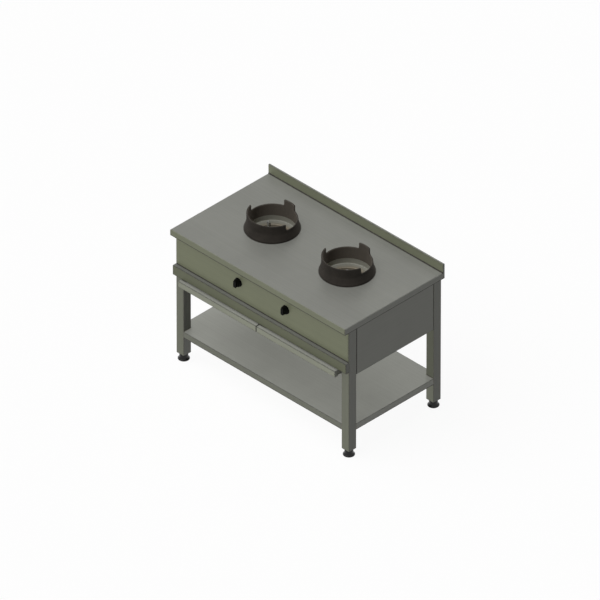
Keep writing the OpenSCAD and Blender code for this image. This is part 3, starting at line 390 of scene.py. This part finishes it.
def plain(name, colour, metallic, roughness, relief, scale, mottle=0.2, edge_colour=None, gloss=0.3, soot=None,
          lit_inside=None):
    """A cast, moulded or drawn finish: noise moves its colour, roughness and relief, and edges take
    another colour, lighter where handled edges are rubbed and darker as painted shade. Above the height
    soot a flame has blackened it. A lighter colour (x, y, radius, colour) is painted light inside a
    radius, round an axis at that place on both sides."""
    material, add = nodes_of(name)
    place = add("TexCoord")
    noise = add("TexNoise", Vector=place.outputs["Object"], Scale=scale, Detail=5.0, Roughness=0.6)
    blotch = add("TexNoise", Vector=place.outputs["Object"], Scale=scale * BLOTCH_SCALE, Detail=3.0,
                 Roughness=0.5)
    mixed = add("Math", operation="MULTIPLY", Value=blotch.outputs["Fac"], Value__1=BLOTCH_SHARE)
    mixed = add("Math", operation="MULTIPLY_ADD", Value=noise.outputs["Fac"], Value__1=1 - BLOTCH_SHARE,
                Value__2=mixed.outputs[0])
    spread = add("MapRange", Value=mixed.outputs[0], From_Min=0.35, From_Max=0.65)
    dark = tuple(c * (1 - mottle) for c in colour) + (1,)
    light = tuple(c * (1 + mottle) for c in colour) + (1,)
    paint = add("Mix", data_type="RGBA", Factor=spread.outputs[0], A=dark, B=light)
    edge = add("Group", node_tree=edge_group, Reach=0.0015, Sharpness=4.0)
    # Painted light inside a radius
    if lit_inside:
        from_axis = axis_distance(add, place.outputs["Object"], *lit_inside[:2])
        within = add("MapRange", Value=from_axis, From_Min=lit_inside[2] + LIT_INSIDE_FADE,
                     From_Max=lit_inside[2] - LIT_INSIDE_FADE)
        paint = add("Mix", data_type="RGBA", Factor=within.outputs[0], A=paint.outputs[2],
                    B=lit_inside[3] + (1,))
    # Edge colour: rubbed wear where it is lighter, painted shade where it is darker
    if edge_colour:
        broken = add("Math", operation="MULTIPLY", Value=edge.outputs["Edge"], Value__1=spread.outputs[0])
        paint = add("Mix", data_type="RGBA", Factor=broken.outputs[0], A=paint.outputs[2], B=edge_colour + (1,))
    if soot:
        high = add("SeparateXYZ", Vector=place.outputs["Object"])
        black = add("MapRange", Value=high.outputs[2], From_Min=soot - SOOT_FADE, From_Max=soot)
        paint = add("Mix", data_type="RGBA", Factor=black.outputs[0], A=paint.outputs[2], B=SOOT)
    bump = add("Bump", Strength=0.5, Distance=relief, Height=noise.outputs["Fac"],
               Normal=edge.outputs["Normal"])
    rough = add("MapRange", Value=spread.outputs[0], To_Min=roughness - ROUGH_SPREAD,
                To_Max=roughness + ROUGH_SPREAD)
    shader = add("BsdfPrincipled", Base_Color=paint.outputs[2], Metallic=metallic,
                 Roughness=rough.outputs[0], Normal=bump.outputs[0], Specular_IOR_Level=gloss)
    add("OutputMaterial", Surface=shader.outputs[0])
    return material


black_plastic = plain("black_plastic", (0.0020, 0.0022, 0.0017), 0.0, 0.55, 0.00006, 2600, gloss=0.06,
                      edge_colour=(0.008, 0.008, 0.007))
dress(black_plastic, "leg_plugs")
foot_nylon = plain("foot_nylon", (0.0036, 0.0036, 0.0032), 0.0, 0.32, 0.00004, 1800)
LEG_X, LEG_FRONT, LEG_REAR = 0.664, -0.325, 0.355
FLANGE_R, BELL_R, BELL_TOP = 0.035, 0.026, 0.0437
STEM_R, STEM_TOP, PITCH, THREAD = 0.006, 0.1057, 0.00175, 0.0005
THREAD_FROM, THREAD_TO, TIP_FROM, FOOT_AROUND = 0.0446, STEM_TOP - 0.0014, STEM_TOP - 0.0012, 28
flare = np.linspace(0, 1, 9)
sole = [(0.020, 0), (0.0335, 0), (0.0344, 0.0002), (0.0348, 0.0005), (FLANGE_R, 0.001)]
sweep = list(zip(BELL_R + (FLANGE_R - BELL_R) * (1 - flare) ** 1.8, 0.005 + 0.015 * flare))
crown = [(BELL_R, 0.030), (BELL_R, 0.0422), (0.0258, 0.0430), (0.0252, 0.0435), (0.0244, BELL_TOP),
         (0.0075, BELL_TOP), (STEM_R, 0.0442)]
bell_r, bell_h = np.array(sole + sweep + crown).T
stem_h = np.arange(THREAD_FROM, THREAD_TO, PITCH / 6)
turns = np.linspace(0, 1, FOOT_AROUND, endpoint=False)
stem_r = STEM_R - THREAD * (0.5 + 0.5 * np.cos(2 * math.pi * (stem_h[:, None] / PITCH - turns[None])))
tip_r, tip_h = np.array([(STEM_R - THREAD, TIP_FROM), (0.0046, STEM_TOP), (0.0020, STEM_TOP)]).T
foot_r = np.vstack([np.tile(bell_r[:, None], FOOT_AROUND), stem_r, np.tile(tip_r[:, None], FOOT_AROUND)])
foot_h = np.concatenate([bell_h, stem_h, tip_h])
for end, y in (("front", LEG_FRONT), ("rear", LEG_REAR)):
    for hand, x in (("left", -LEG_X), ("right", LEG_X)):
        foot = closed_shell(turned(foot_r, foot_h, FOOT_AROUND, (x, y, 0)))
        piece(f"levelling_foot_{end}_{hand}", [foot], foot_nylon, f"foot_{end}_{hand}", "black_plastic",
              f"foot_{end}_{hand}")

# Frame: a top frame and two rails over the trays, welded between the legs, and stiffeners welded
# under the worktop and the shelf. All are folded or tubular stainless, and don't show from above.
rail_steel = brushed_steel("rail_steel", ALONG_X, ALONG_X, (1, 0, 0), smudge=0.08)
cross_steel = brushed_steel("cross_steel", ALONG_Y, ALONG_Y, (0, 1, 0), smudge=0.10)
dress(rail_steel, "top_frame", "tray_rails", "shelf_stiffener")
dress(cross_steel, "deck_stiffeners")

# Lower shelf: one sheet with folded edges, notched round the legs and tig welded to them along its
# top and its folds. The beads are rippled, because the filler is laid drop by drop.
# Painted light and shade: the shelf is a lighter copy of the steel, its front faces darker, a band under
# its fold
SHELF_FOLD_SHADE = ((0.0, 0.0, 0.1736), (ALL_X, ALL_Y, 0.0024))
shelf_steel = brushed_steel("shelf_steel", ALONG_X, ALONG_Z, (1, 0, 0), colour=painted_light_steel(1.30), front_shade=0.6,
                            front_tone=0.42, shade_boxes=(SHELF_FOLD_SHADE,))
weld_metal = plain("weld_metal", (0.20, 0.19, 0.16), METAL, 0.38, 0.00008, 900, mottle=0.3)
dress(shelf_steel, "lower_shelf")
SHELF_TOP, SHELF_FOOT, SHELF_REAR, LEG_HALF = 0.212, 0.172, 0.368, 0.030
BEAD_R, RIPPLE, RIPPLE_SHARE, BEAD_INSET = 0.0022, 0.0026, 0.09, 0.0015
BEAD_FROM, BLUNTNESS, RIPPLE_STEPS, BEAD_AROUND = 0.004, 12, 6, 12


def bead(start, end):
    """A weld bead: circles along a straight run, smaller at both ends and rippled by a cosine along
    the way."""
    start, end = np.array(start, float), np.array(end, float)
    length = np.linalg.norm(end - start)
    ahead = (end - start) / length
    t = np.linspace(BEAD_FROM, 1 - BEAD_FROM, int(length / RIPPLE * RIPPLE_STEPS))
    swell = (1 - (2 * t - 1) ** BLUNTNESS) ** 0.5
    radius = BEAD_R * swell * (1 + RIPPLE_SHARE * np.cos(2 * math.pi * t * length / RIPPLE))
    sideways = np.cross(ahead, (0, 0, 1) if abs(ahead[2]) < 0.5 else (1, 0, 0))
    upward = np.cross(sideways, ahead)
    angle = np.linspace(0, 2 * math.pi, BEAD_AROUND, endpoint=False)
    circle = np.cos(angle)[:, None] * sideways + np.sin(angle)[:, None] * upward
    return closed_shell(start + t[:, None, None] * (end - start) + radius[:, None, None] * circle[None])


beads = []
for s in (-1, 1):
    inner, outer = s * (LEG_X - LEG_HALF), s * (LEG_X + LEG_HALF - BEAD_INSET)
    for y_face, y_far in ((LEG_FRONT + LEG_HALF, LEG_FRONT - LEG_HALF + BEAD_INSET),
                          (LEG_REAR - LEG_HALF, SHELF_REAR - BEAD_INSET)):
        beads.append(bead((inner, y_face, SHELF_TOP), (outer, y_face, SHELF_TOP)))
        beads.append(bead((inner, y_far, SHELF_TOP), (inner, y_face, SHELF_TOP)))
        beads.append(bead((outer, y_face, SHELF_FOOT), (outer, y_face, SHELF_TOP)))
        beads.append(bead((inner, y_far, SHELF_FOOT), (inner, y_far, SHELF_TOP)))
piece("shelf_weld_beads", beads, weld_metal, "frame", "stainless")

# Side panels and rear panel: folded sheets that close the burner space. The sides are welded, and
# the rear panel is held by ten pan head screws, zinc plated, with cross recesses.
# Painted shade: dark bands on the side panels beside the legs, and under the worktop
BESIDE_LEGS = tuple(((0.0, y, 0.735), (ALL_X, 0.0030, 0.20)) for y in (-0.2925, 0.3225))
side_steel = brushed_steel("side_steel", ALONG_Y, ALONG_Z, (0, 1, 0), shade_boxes=(UNDER_TOP,) + BESIDE_LEGS)
rear_steel = brushed_steel("rear_steel", ALONG_X, ALONG_Z, (1, 0, 0), shade_boxes=(UNDER_TOP,))
zinc = plain("zinc", (0.34, 0.35, 0.34), 0.6, 0.38, 0.00005, 1200, mottle=0.12, edge_colour=(0.5, 0.5, 0.48))
dress(side_steel, "side_panel_left", "side_panel_right")
dress(rear_steel, "rear_panel")
REAR_FACE, SCREW_PITCH, SCREW_ROWS = 0.385, 0.302, (0.629, 0.898)
HEAD_R, HEAD_H, SHANK_R, TIP_SHARE, SHEET = 0.005, 0.0022, 0.0025, 0.7, 0.0015
HEAD_EDGE, DOME_FROM, DOME_TO, SCREW_AROUND = 0.0003, 0.0004, 0.985, 48
CROSS_HALF, CROSS_SIDE, CROSS_REACH, CROSS_END, CROSS_DEPTH = 0.00062, 0.0002, 0.0026, 0.0006, 0.0011
ring_of = np.linspace(0, 2 * math.pi, SCREW_AROUND, endpoint=False)
rise = np.linspace(0, 1, 15)
dome_r = HEAD_R * np.cos(rise * math.pi / 2 * DOME_TO)
dome_x, dome_z = dome_r[:, None] * np.cos(ring_of), dome_r[:, None] * np.sin(ring_of)
# The recess is cut where a point is near one arm's middle line and within the arm's reach
beside = np.clip((CROSS_HALF - np.minimum(np.abs(dome_x), np.abs(dome_z))) / CROSS_SIDE, 0, 1)
within = np.clip((CROSS_REACH - np.maximum(np.abs(dome_x), np.abs(dome_z))) / CROSS_END, 0, 1)
recess = beside * within * CROSS_DEPTH
dome_h = DOME_FROM + (HEAD_H - DOME_FROM) * np.sin(rise * math.pi / 2)[:, None] - recess
screws = []
for row_z in SCREW_ROWS:
    for i in range(-2, 3):
        shank = turned([SHANK_R * TIP_SHARE, SHANK_R, SHANK_R, HEAD_R, HEAD_R],
                       [-SHEET, -SHEET + HEAD_EDGE, 0, 0, HEAD_EDGE], SCREW_AROUND,
                       (i * SCREW_PITCH, REAR_FACE, row_z), axis="y")
        dome = np.stack([dome_x, dome_h, dome_z], -1) + (i * SCREW_PITCH, REAR_FACE, row_z)
        screws.append(closed_shell(np.vstack([shank, dome])))
piece("rear_panel_pan_head_screws", screws, zinc, "frame", "zinc_plate", "rear_panel_screws")

# Worktop: a stainless sheet with folded edges and a folded upstand at the back. Painted shade makes
# a dark line in the fold at the back and along the folds' lower edges, a line round each wok ring,
# and an olive cast on faces to the front.
BURNER_X, BURNER_Y, DECK_Z, BASE_R = 0.300, 0.025, 0.915, 0.160
COVE_LINE = ((0.0, 0.3905, 0.9165), (ALL_X, 0.0044, 0.0036))
FOLD_FOOT_SHADE = ((0.0, 0.0, 0.8762), (ALL_X, ALL_Y, 0.0028))
deck_steel = brushed_steel("deck_steel", ALONG_X, ALONG_Z, (1, 0, 0), front_shade=0.9,
                           ring_shade=(BURNER_X, BURNER_Y, BASE_R), shade_boxes=(COVE_LINE, FOLD_FOOT_SHADE))
dress(deck_steel, "worktop")

# Burner wells: spun from 1.5 mm stainless and polished in the lathe, so fine turning marks go
# round the axis. Heat has tinted their floors straw towards the burner.
WELL_DARK, WELL_LIGHT = (0.205, 0.204, 0.176, 1), (0.275, 0.272, 0.236, 1)
STRAW, TINT_FROM, TINT_TO = (0.20, 0.14, 0.075, 1), 0.134, 0.108
well_steel, add = nodes_of("well_steel")
place = add("TexCoord")
parts = add("SeparateXYZ", Vector=place.outputs["Object"])
from_axis = axis_distance(add, place.outputs["Object"], BURNER_X, BURNER_Y)
lathe = add("CombineXYZ", X=from_axis, Y=parts.outputs[2], Z=0.0)
marks = add("TexNoise", Vector=lathe.outputs[0], Scale=1400.0, Detail=2.0, Roughness=0.6)
cloud = add("TexNoise", Vector=place.outputs["Object"], Scale=9.0, Detail=4.0, Roughness=0.6)
heat = add("MapRange", Value=from_axis, From_Min=TINT_FROM, From_Max=TINT_TO)
heat = add("Math", operation="MULTIPLY", Value=heat.outputs[0], Value__1=cloud.outputs["Fac"],
           use_clamp=True)
bright = add("Mix", data_type="RGBA", Factor=cloud.outputs["Fac"], A=WELL_DARK, B=WELL_LIGHT)
tinted = add("Mix", data_type="RGBA", Factor=heat.outputs[0], A=bright.outputs[2], B=STRAW)
rough = add("MapRange", Value=marks.outputs["Fac"], To_Min=0.24, To_Max=0.40)
relief = add("Bump", Strength=0.2, Distance=0.0001, Height=marks.outputs["Fac"])
spun = add("BsdfPrincipled", Base_Color=tinted.outputs[2], Metallic=0.3, Roughness=rough.outputs[0],
           Specular_IOR_Level=0.2, Normal=relief.outputs[0])
add("OutputMaterial", Surface=spun.outputs[0])
dress(well_steel, "burner_well_left", "burner_well_right")

# Burners: a sand cast iron body with its mixing tube stands on a steel cradle bolted across the
# well, and a machined brass crown with drilled ports lifts out of the body's cup.
iron = plain("burner_iron", (0.045, 0.040, 0.035), 0.2, 0.62, 0.0004, 700, mottle=0.3,
             edge_colour=(0.11, 0.10, 0.09))
brass = plain("brass", (0.40, 0.27, 0.10), 0.7, 0.34, 0.00005, 1100, mottle=0.14, edge_colour=(0.60, 0.44, 0.20))
dress(iron, "burner_body_left", "burner_body_right")
dress(brass, "burner_crown_left", "burner_crown_right", "injector_left", "injector_right")
dress(zinc, "air_shutter_left", "air_shutter_right", "cradle_bolts")
dress(cross_steel, "burner_cradle_left", "burner_cradle_right")

# Gas train: a steel manifold on brackets feeds a forged brass valve for each burner, and a copper
# tube goes from each valve to its injector. The inlet pipe comes in through the rear panel.
pipe_steel = plain("pipe_steel", (0.19, 0.19, 0.18), 0.4, 0.45, 0.0001, 500, mottle=0.15)
copper = plain("copper", (0.42, 0.17, 0.085), 0.7, 0.34, 0.00004, 900, mottle=0.25,
               edge_colour=(0.60, 0.30, 0.17))
dress(pipe_steel, "gas_manifold", "gas_inlet_pipe")
dress(cross_steel, "manifold_brackets")
dress(brass, "gas_valve_left", "gas_valve_right", "valve_spindle_left", "valve_spindle_right")
dress(zinc, "valve_sleeve_left", "valve_sleeve_right")
dress(copper, "gas_tube_left", "gas_tube_right")

# Pilots: a small plated burner and the copper tip of a thermocouple on a bracket beside each
# crown, with a thin tube and a lead that run forward to the valve.
dress(cross_steel, "pilot_brackets")
dress(zinc, "pilot_burner_left", "pilot_burner_right")
SOOT_AT = 0.850
probe_copper = plain("probe_copper", (0.42, 0.17, 0.085), 0.3, 0.45, 0.00004, 900, mottle=0.25,
                     soot=SOOT_AT)
dress(copper, "pilot_tubes")
dress(probe_copper, "thermocouples")

# Control panel: a folded sheet across the front, with a folded channel as a rail under it. Black
# bezels are pressed on round the spindles.
# Painted shade: bands over and under the rail, olive on front faces, and a darker rail
OVER_GUARD = ((0.0, -0.357, 0.6650), (ALL_X, 0.006, 0.0034))
UNDER_GUARD_SHADE = ((0.0, -0.370, 0.5986), (ALL_X, 0.03, 0.0026))
front_steel = brushed_steel("front_steel", ALONG_X, ALONG_Z, (1, 0, 0), front_shade=1.0,
                            shade_boxes=(UNDER_TOP, OVER_GUARD))
guard_steel = brushed_steel("guard_steel", ALONG_X, ALONG_Z, (1, 0, 0), colour=painted_light_steel(0.71), front_shade=1.0,
                            shade_boxes=(UNDER_GUARD_SHADE,))
dress(front_steel, "control_panel")
dress(guard_steel, "panel_guard")
dress(black_plastic, "knob_bezels")

# Knobs: moulded in black phenolic, with a round skirt, a low cone and a broad upright grip that is
# waisted for finger and thumb. They push onto the valves' spindles.
KNOB_X, KNOB_Z = 0.190, 0.782
HUB_BACK, SKIRT_BACK, SKIRT_FRONT, CONE_FRONT, GRIP_FRONT = -0.3603, -0.3630, -0.3690, -0.3810, -0.3890
SKIRT_R, SKIRT_IN_R, HUB_R, BORE_R, BORE_END = 0.026, 0.0246, 0.009, 0.00505, -0.3780
CONE_R, CONE_TIP_R, WAIST = 0.021, 0.018, 0.07
GRIP_HALF_W, GRIP_HALF_H, GRIP_CORNER, GRIP_EDGE, GRIP_DEPTH = 0.01105, 0.023, 0.007, 0.0016, 0.020
BACK_EDGE, SKIRT_EDGE, CONE_EDGE, CONE_INSET, GRIP_STEP = 0.0010, 0.0014, 0.0008, 0.0010, 0.0001
AROUND, FILLET_POWER = 144, 24


def rounded_bar(half_w, half_h, corner):
    """Distance from the middle of a rounded rectangle to its outline: a straight side where that is
    met first, and otherwise the corner's circle."""
    angle = np.linspace(0, 2 * math.pi, AROUND, endpoint=False)
    c, s = np.abs(np.cos(angle)) + 1e-9, np.abs(np.sin(angle)) + 1e-9
    inner_w, inner_h = half_w - corner, half_h - corner
    along, across = inner_w * c + inner_h * s, inner_w * s - inner_h * c
    bend = along + np.sqrt(np.maximum(corner ** 2 - across ** 2, 0))
    on_end = np.where(half_h / s * c <= inner_w, half_h / s, bend)
    return np.where(half_w / c * s <= inner_h, half_w / c, on_end)


def soft_most(a, b):
    """The larger of two radii, with a small fillet where they meet: the 24th root of the sum of
    their 24th powers."""
    return (a ** FILLET_POWER + b ** FILLET_POWER) ** (1 / FILLET_POWER)


def grip_at(depth):
    """Outline of the grip at a depth from its back, 0 to 1, waisted by a sine in the middle."""
    waist = 1 - WAIST * math.sin(math.pi * min(max(depth, 0), 1))
    return rounded_bar(GRIP_HALF_W * waist, GRIP_HALF_H, GRIP_CORNER * waist)


circle = np.ones(AROUND)
knob_rows = [(BORE_END, BORE_R * circle), (HUB_BACK, BORE_R * circle), (HUB_BACK, HUB_R * circle),
             (SKIRT_BACK, HUB_R * circle), (SKIRT_BACK, SKIRT_IN_R * circle)]
for turn in np.linspace(0, math.pi / 2, 5):
    knob_rows.append((SKIRT_BACK - BACK_EDGE * (1 - math.cos(turn)),
                      (SKIRT_R - BACK_EDGE * (1 - math.sin(turn))) * circle))
for turn in np.linspace(0, math.pi / 2, 6):
    knob_rows.append((SKIRT_FRONT + SKIRT_EDGE * (1 - math.sin(turn)),
                      (SKIRT_R - SKIRT_EDGE * (1 - math.cos(turn))) * circle))
for t in np.linspace(0, 1, 9):
    y = SKIRT_FRONT + (CONE_FRONT + CONE_EDGE - SKIRT_FRONT) * t
    cone = CONE_R + (CONE_TIP_R - CONE_R) * t
    knob_rows.append((y, soft_most(cone * circle, grip_at((SKIRT_FRONT - y) / GRIP_DEPTH))))
for turn in np.linspace(0.3, math.pi / 2, 5):
    y = CONE_FRONT + CONE_EDGE * (1 - math.sin(turn))
    cone = CONE_TIP_R - CONE_INSET * (1 - math.cos(turn))
    knob_rows.append((y, soft_most(cone * circle, grip_at((SKIRT_FRONT - y) / GRIP_DEPTH))))
for t in np.linspace(0, 1, 6):
    y = CONE_FRONT - GRIP_STEP + (GRIP_FRONT + GRIP_EDGE - CONE_FRONT) * t
    knob_rows.append((y, grip_at((SKIRT_FRONT - y) / GRIP_DEPTH)))
for turn in np.linspace(0.25, math.pi / 2, 6):
    inset = GRIP_EDGE * (1 - math.cos(turn))
    knob_rows.append((GRIP_FRONT + GRIP_EDGE * (1 - math.sin(turn)),
                      rounded_bar(GRIP_HALF_W - inset, GRIP_HALF_H - inset, GRIP_CORNER - inset)))
for share in (0.8, 0.5, 0.2):
    knob_rows.append((GRIP_FRONT, share * rounded_bar(GRIP_HALF_W, GRIP_HALF_H, GRIP_CORNER)))
knob_y = np.array([y for y, _ in knob_rows])
knob_r = np.stack([r for _, r in knob_rows])
for hand, x in (("left", -KNOB_X), ("right", KNOB_X)):
    knob = closed_shell(turned(knob_r, knob_y, AROUND, (x, 0, KNOB_Z), axis="y"))
    piece(f"grip_knob_{hand}", [knob], black_plastic, f"knob_{hand}", "black_plastic", f"knob_{hand}",
          crease=40)

# Drip trays: two folded stainless trays with channel fronts, side by side, which slide on angle
# runners and on one runner between them. Painted shade darkens the joint between their fronts.
TRAY_JOINT = ((0.0, -0.395, 0.575), (0.0040, 0.020, 0.030))
# Painted light: the trays are a lighter copy of the steel, with olive on front faces
tray_steel = brushed_steel("tray_steel", ALONG_X, ALONG_Z, (1, 0, 0), colour=painted_light_steel(1.34), front_shade=0.5,
                           shade_boxes=(TRAY_JOINT,))
runner_steel = brushed_steel("runner_steel", ALONG_Y, ALONG_Y, (0, 1, 0), smudge=0.10)
dress(tray_steel, "drip_tray_left", "drip_tray_right")
dress(runner_steel, "runner_left", "runner_centre", "runner_right")

# Wok rings: sand cast grey iron with a high shield at the front, a high lug at the back and two
# low cut-outs for the wok's sides. Each lies loose on the worktop, its spigot in the burner hole.
RING_R, RING_IN_R, RIM, LIT_INSIDE_R = 0.148, 0.140, 0.0025, 0.1425
LOW, HIGH, SPIGOT, FLARE_TOP, WAVE, LEVEL_STEP = 0.066, 0.107, -0.010, 0.058, 0.0002, 0.003
FOOT_CURVE, HEAD_CURVE, LEAN, LEAN_RUN = 0.012, 0.005, math.radians(2), 0.0004
WAVE_FROM, WAVE_RISE = 0.020, 0.030
RISING, FALLING = (73, 193), (107, 347)


def cut_edge():
    """One side of a cut-out, from its floor up: an arc at the foot, a side that leans 2 degrees and
    an arc at the head, as distance round the wall, height, and the normal that leaves the metal."""
    foot_at = (-FOOT_CURVE - LEAN_RUN, LOW + FOOT_CURVE)
    head_at = (HEAD_CURVE + LEAN_RUN, HIGH - HEAD_CURVE)
    foot = np.linspace(-math.pi / 2, -LEAN, 9)
    head = np.linspace(math.pi - LEAN, math.pi / 2, 7)
    u = np.concatenate([foot_at[0] + FOOT_CURVE * np.cos(foot), head_at[0] + HEAD_CURVE * np.cos(head)])
    z = np.concatenate([foot_at[1] + FOOT_CURVE * np.sin(foot), head_at[1] + HEAD_CURVE * np.sin(head)])
    n_u = np.concatenate([-np.cos(foot), np.cos(head)])
    n_z = np.concatenate([-np.sin(foot), np.sin(head)])
    return u, z, n_u, n_z


def top_curve():
    """The rim's closed curve round the ring, in the same four values: four cut edges joined by level
    runs in steps of about 3 mm."""
    u, z, n_u, n_z = cut_edge()
    parts = []
    stops = []
    for rise_at, fall_at in zip(RISING, FALLING):
        stops.append((math.radians(rise_at) * RING_R + u, z, n_u, n_z))
        stops.append((math.radians(fall_at) * RING_R - u[::-1], z[::-1], -n_u[::-1], n_z[::-1]))
    turn_length = 2 * math.pi * RING_R
    for i, stop in enumerate(stops):
        start = stop[0][-1]
        end = stops[(i + 1) % 4][0][0] + (turn_length if i == 3 else 0)
        level = np.linspace(start, end, int((end - start) / LEVEL_STEP) + 2)[1:-1]
        parts += [stop, (level, np.full(len(level), stop[1][-1]), 0 * level, 0 * level + 1)]
    return [np.concatenate(column) for column in zip(*parts)]


def ring_rows():
    """Rows of the ring: up the inner wall, over the rounded rim, down the outer wall, down the flare
    and under the spigot. The walls wave by a fifth of a millimetre, as a casting's do."""
    s, z, n_s, n_z = top_curve()
    turn = np.linspace(0, math.pi / 2, 6)
    inset, drop = RIM * (1 - np.cos(turn)), RIM * (1 - np.sin(turn))
    rim_r = np.concatenate([RING_IN_R + inset, RING_R - inset[::-1]])
    rim_d = np.concatenate([drop, drop[::-1]])
    around = s[None] - n_s[None] * rim_d[:, None]
    height = z[None] - n_z[None] * rim_d[:, None]
    radius = np.repeat(rim_r[:, None], len(s), 1)
    up = np.linspace(0, 1, 16)[:-1, None]
    inner = SPIGOT + up * (height[0] - SPIGOT)
    down = np.linspace(1, 0, 12)[1:, None]
    outer = FLARE_TOP + down * (height[-1] - FLARE_TOP)
    flare = [(0.14808, 0.055), (0.14835, 0.052), (0.1488, 0.049), (0.1496, 0.0455), (0.1510, 0.0405),
             (0.1545, 0.0270), (0.1580, 0.0138), (0.1588, 0.0119), (0.1596, 0.0106), (BASE_R, 0.0095),
             (BASE_R, 0.0012), (0.1597, 0.0004), (0.1590, 0.0), (0.1520, 0.0), (0.1450, 0.0),
             (0.1450, -0.0088), (0.1447, -0.0096), (0.1439, SPIGOT)]
    columns = len(s)
    height = np.vstack([inner, height, outer] + [np.full((1, columns), h) for _, h in flare])
    radius = np.vstack([np.full((len(up), columns), RING_IN_R), radius,
                        np.full((len(down), columns), RING_R)]
                       + [np.full((1, columns), r) for r, _ in flare])
    around = np.vstack([np.repeat(around[:1], len(up), 0), around,
                        np.repeat(around[-1:], len(down) + len(flare), 0)]) / RING_R
    above = np.clip((height - WAVE_FROM) / WAVE_RISE, 0, 1)
    wave = (np.sin(5 * around + 40 * height) + np.sin(11 * around - 25 * height + 1.3)
            + np.sin(23 * around + 90 * height)) / 3
    radius = radius + WAVE * wave * above
    return np.stack([radius * np.cos(around), radius * np.sin(around), height], -1)


# Painted light and shade: the inside of each ring is painted lighter against its shade, and its edges
# darker
ring_iron = plain("ring_iron", (0.031, 0.027, 0.023), 0.1, 0.66, 0.0005, 600, mottle=0.22,
                  edge_colour=(0.010, 0.009, 0.008), gloss=0.15,
                  lit_inside=(BURNER_X, BURNER_Y, LIT_INSIDE_R, (0.078, 0.069, 0.058)))
ring = ring_rows()
for hand, x in (("left", -BURNER_X), ("right", BURNER_X)):
    shell = closed_shell(ring + (x, BURNER_Y, DECK_Z), ring=True)
    piece(f"cast_wok_ring_{hand}", [shell], ring_iron, f"wok_ring_{hand}", "cast_iron", f"wok_ring_{hand}")
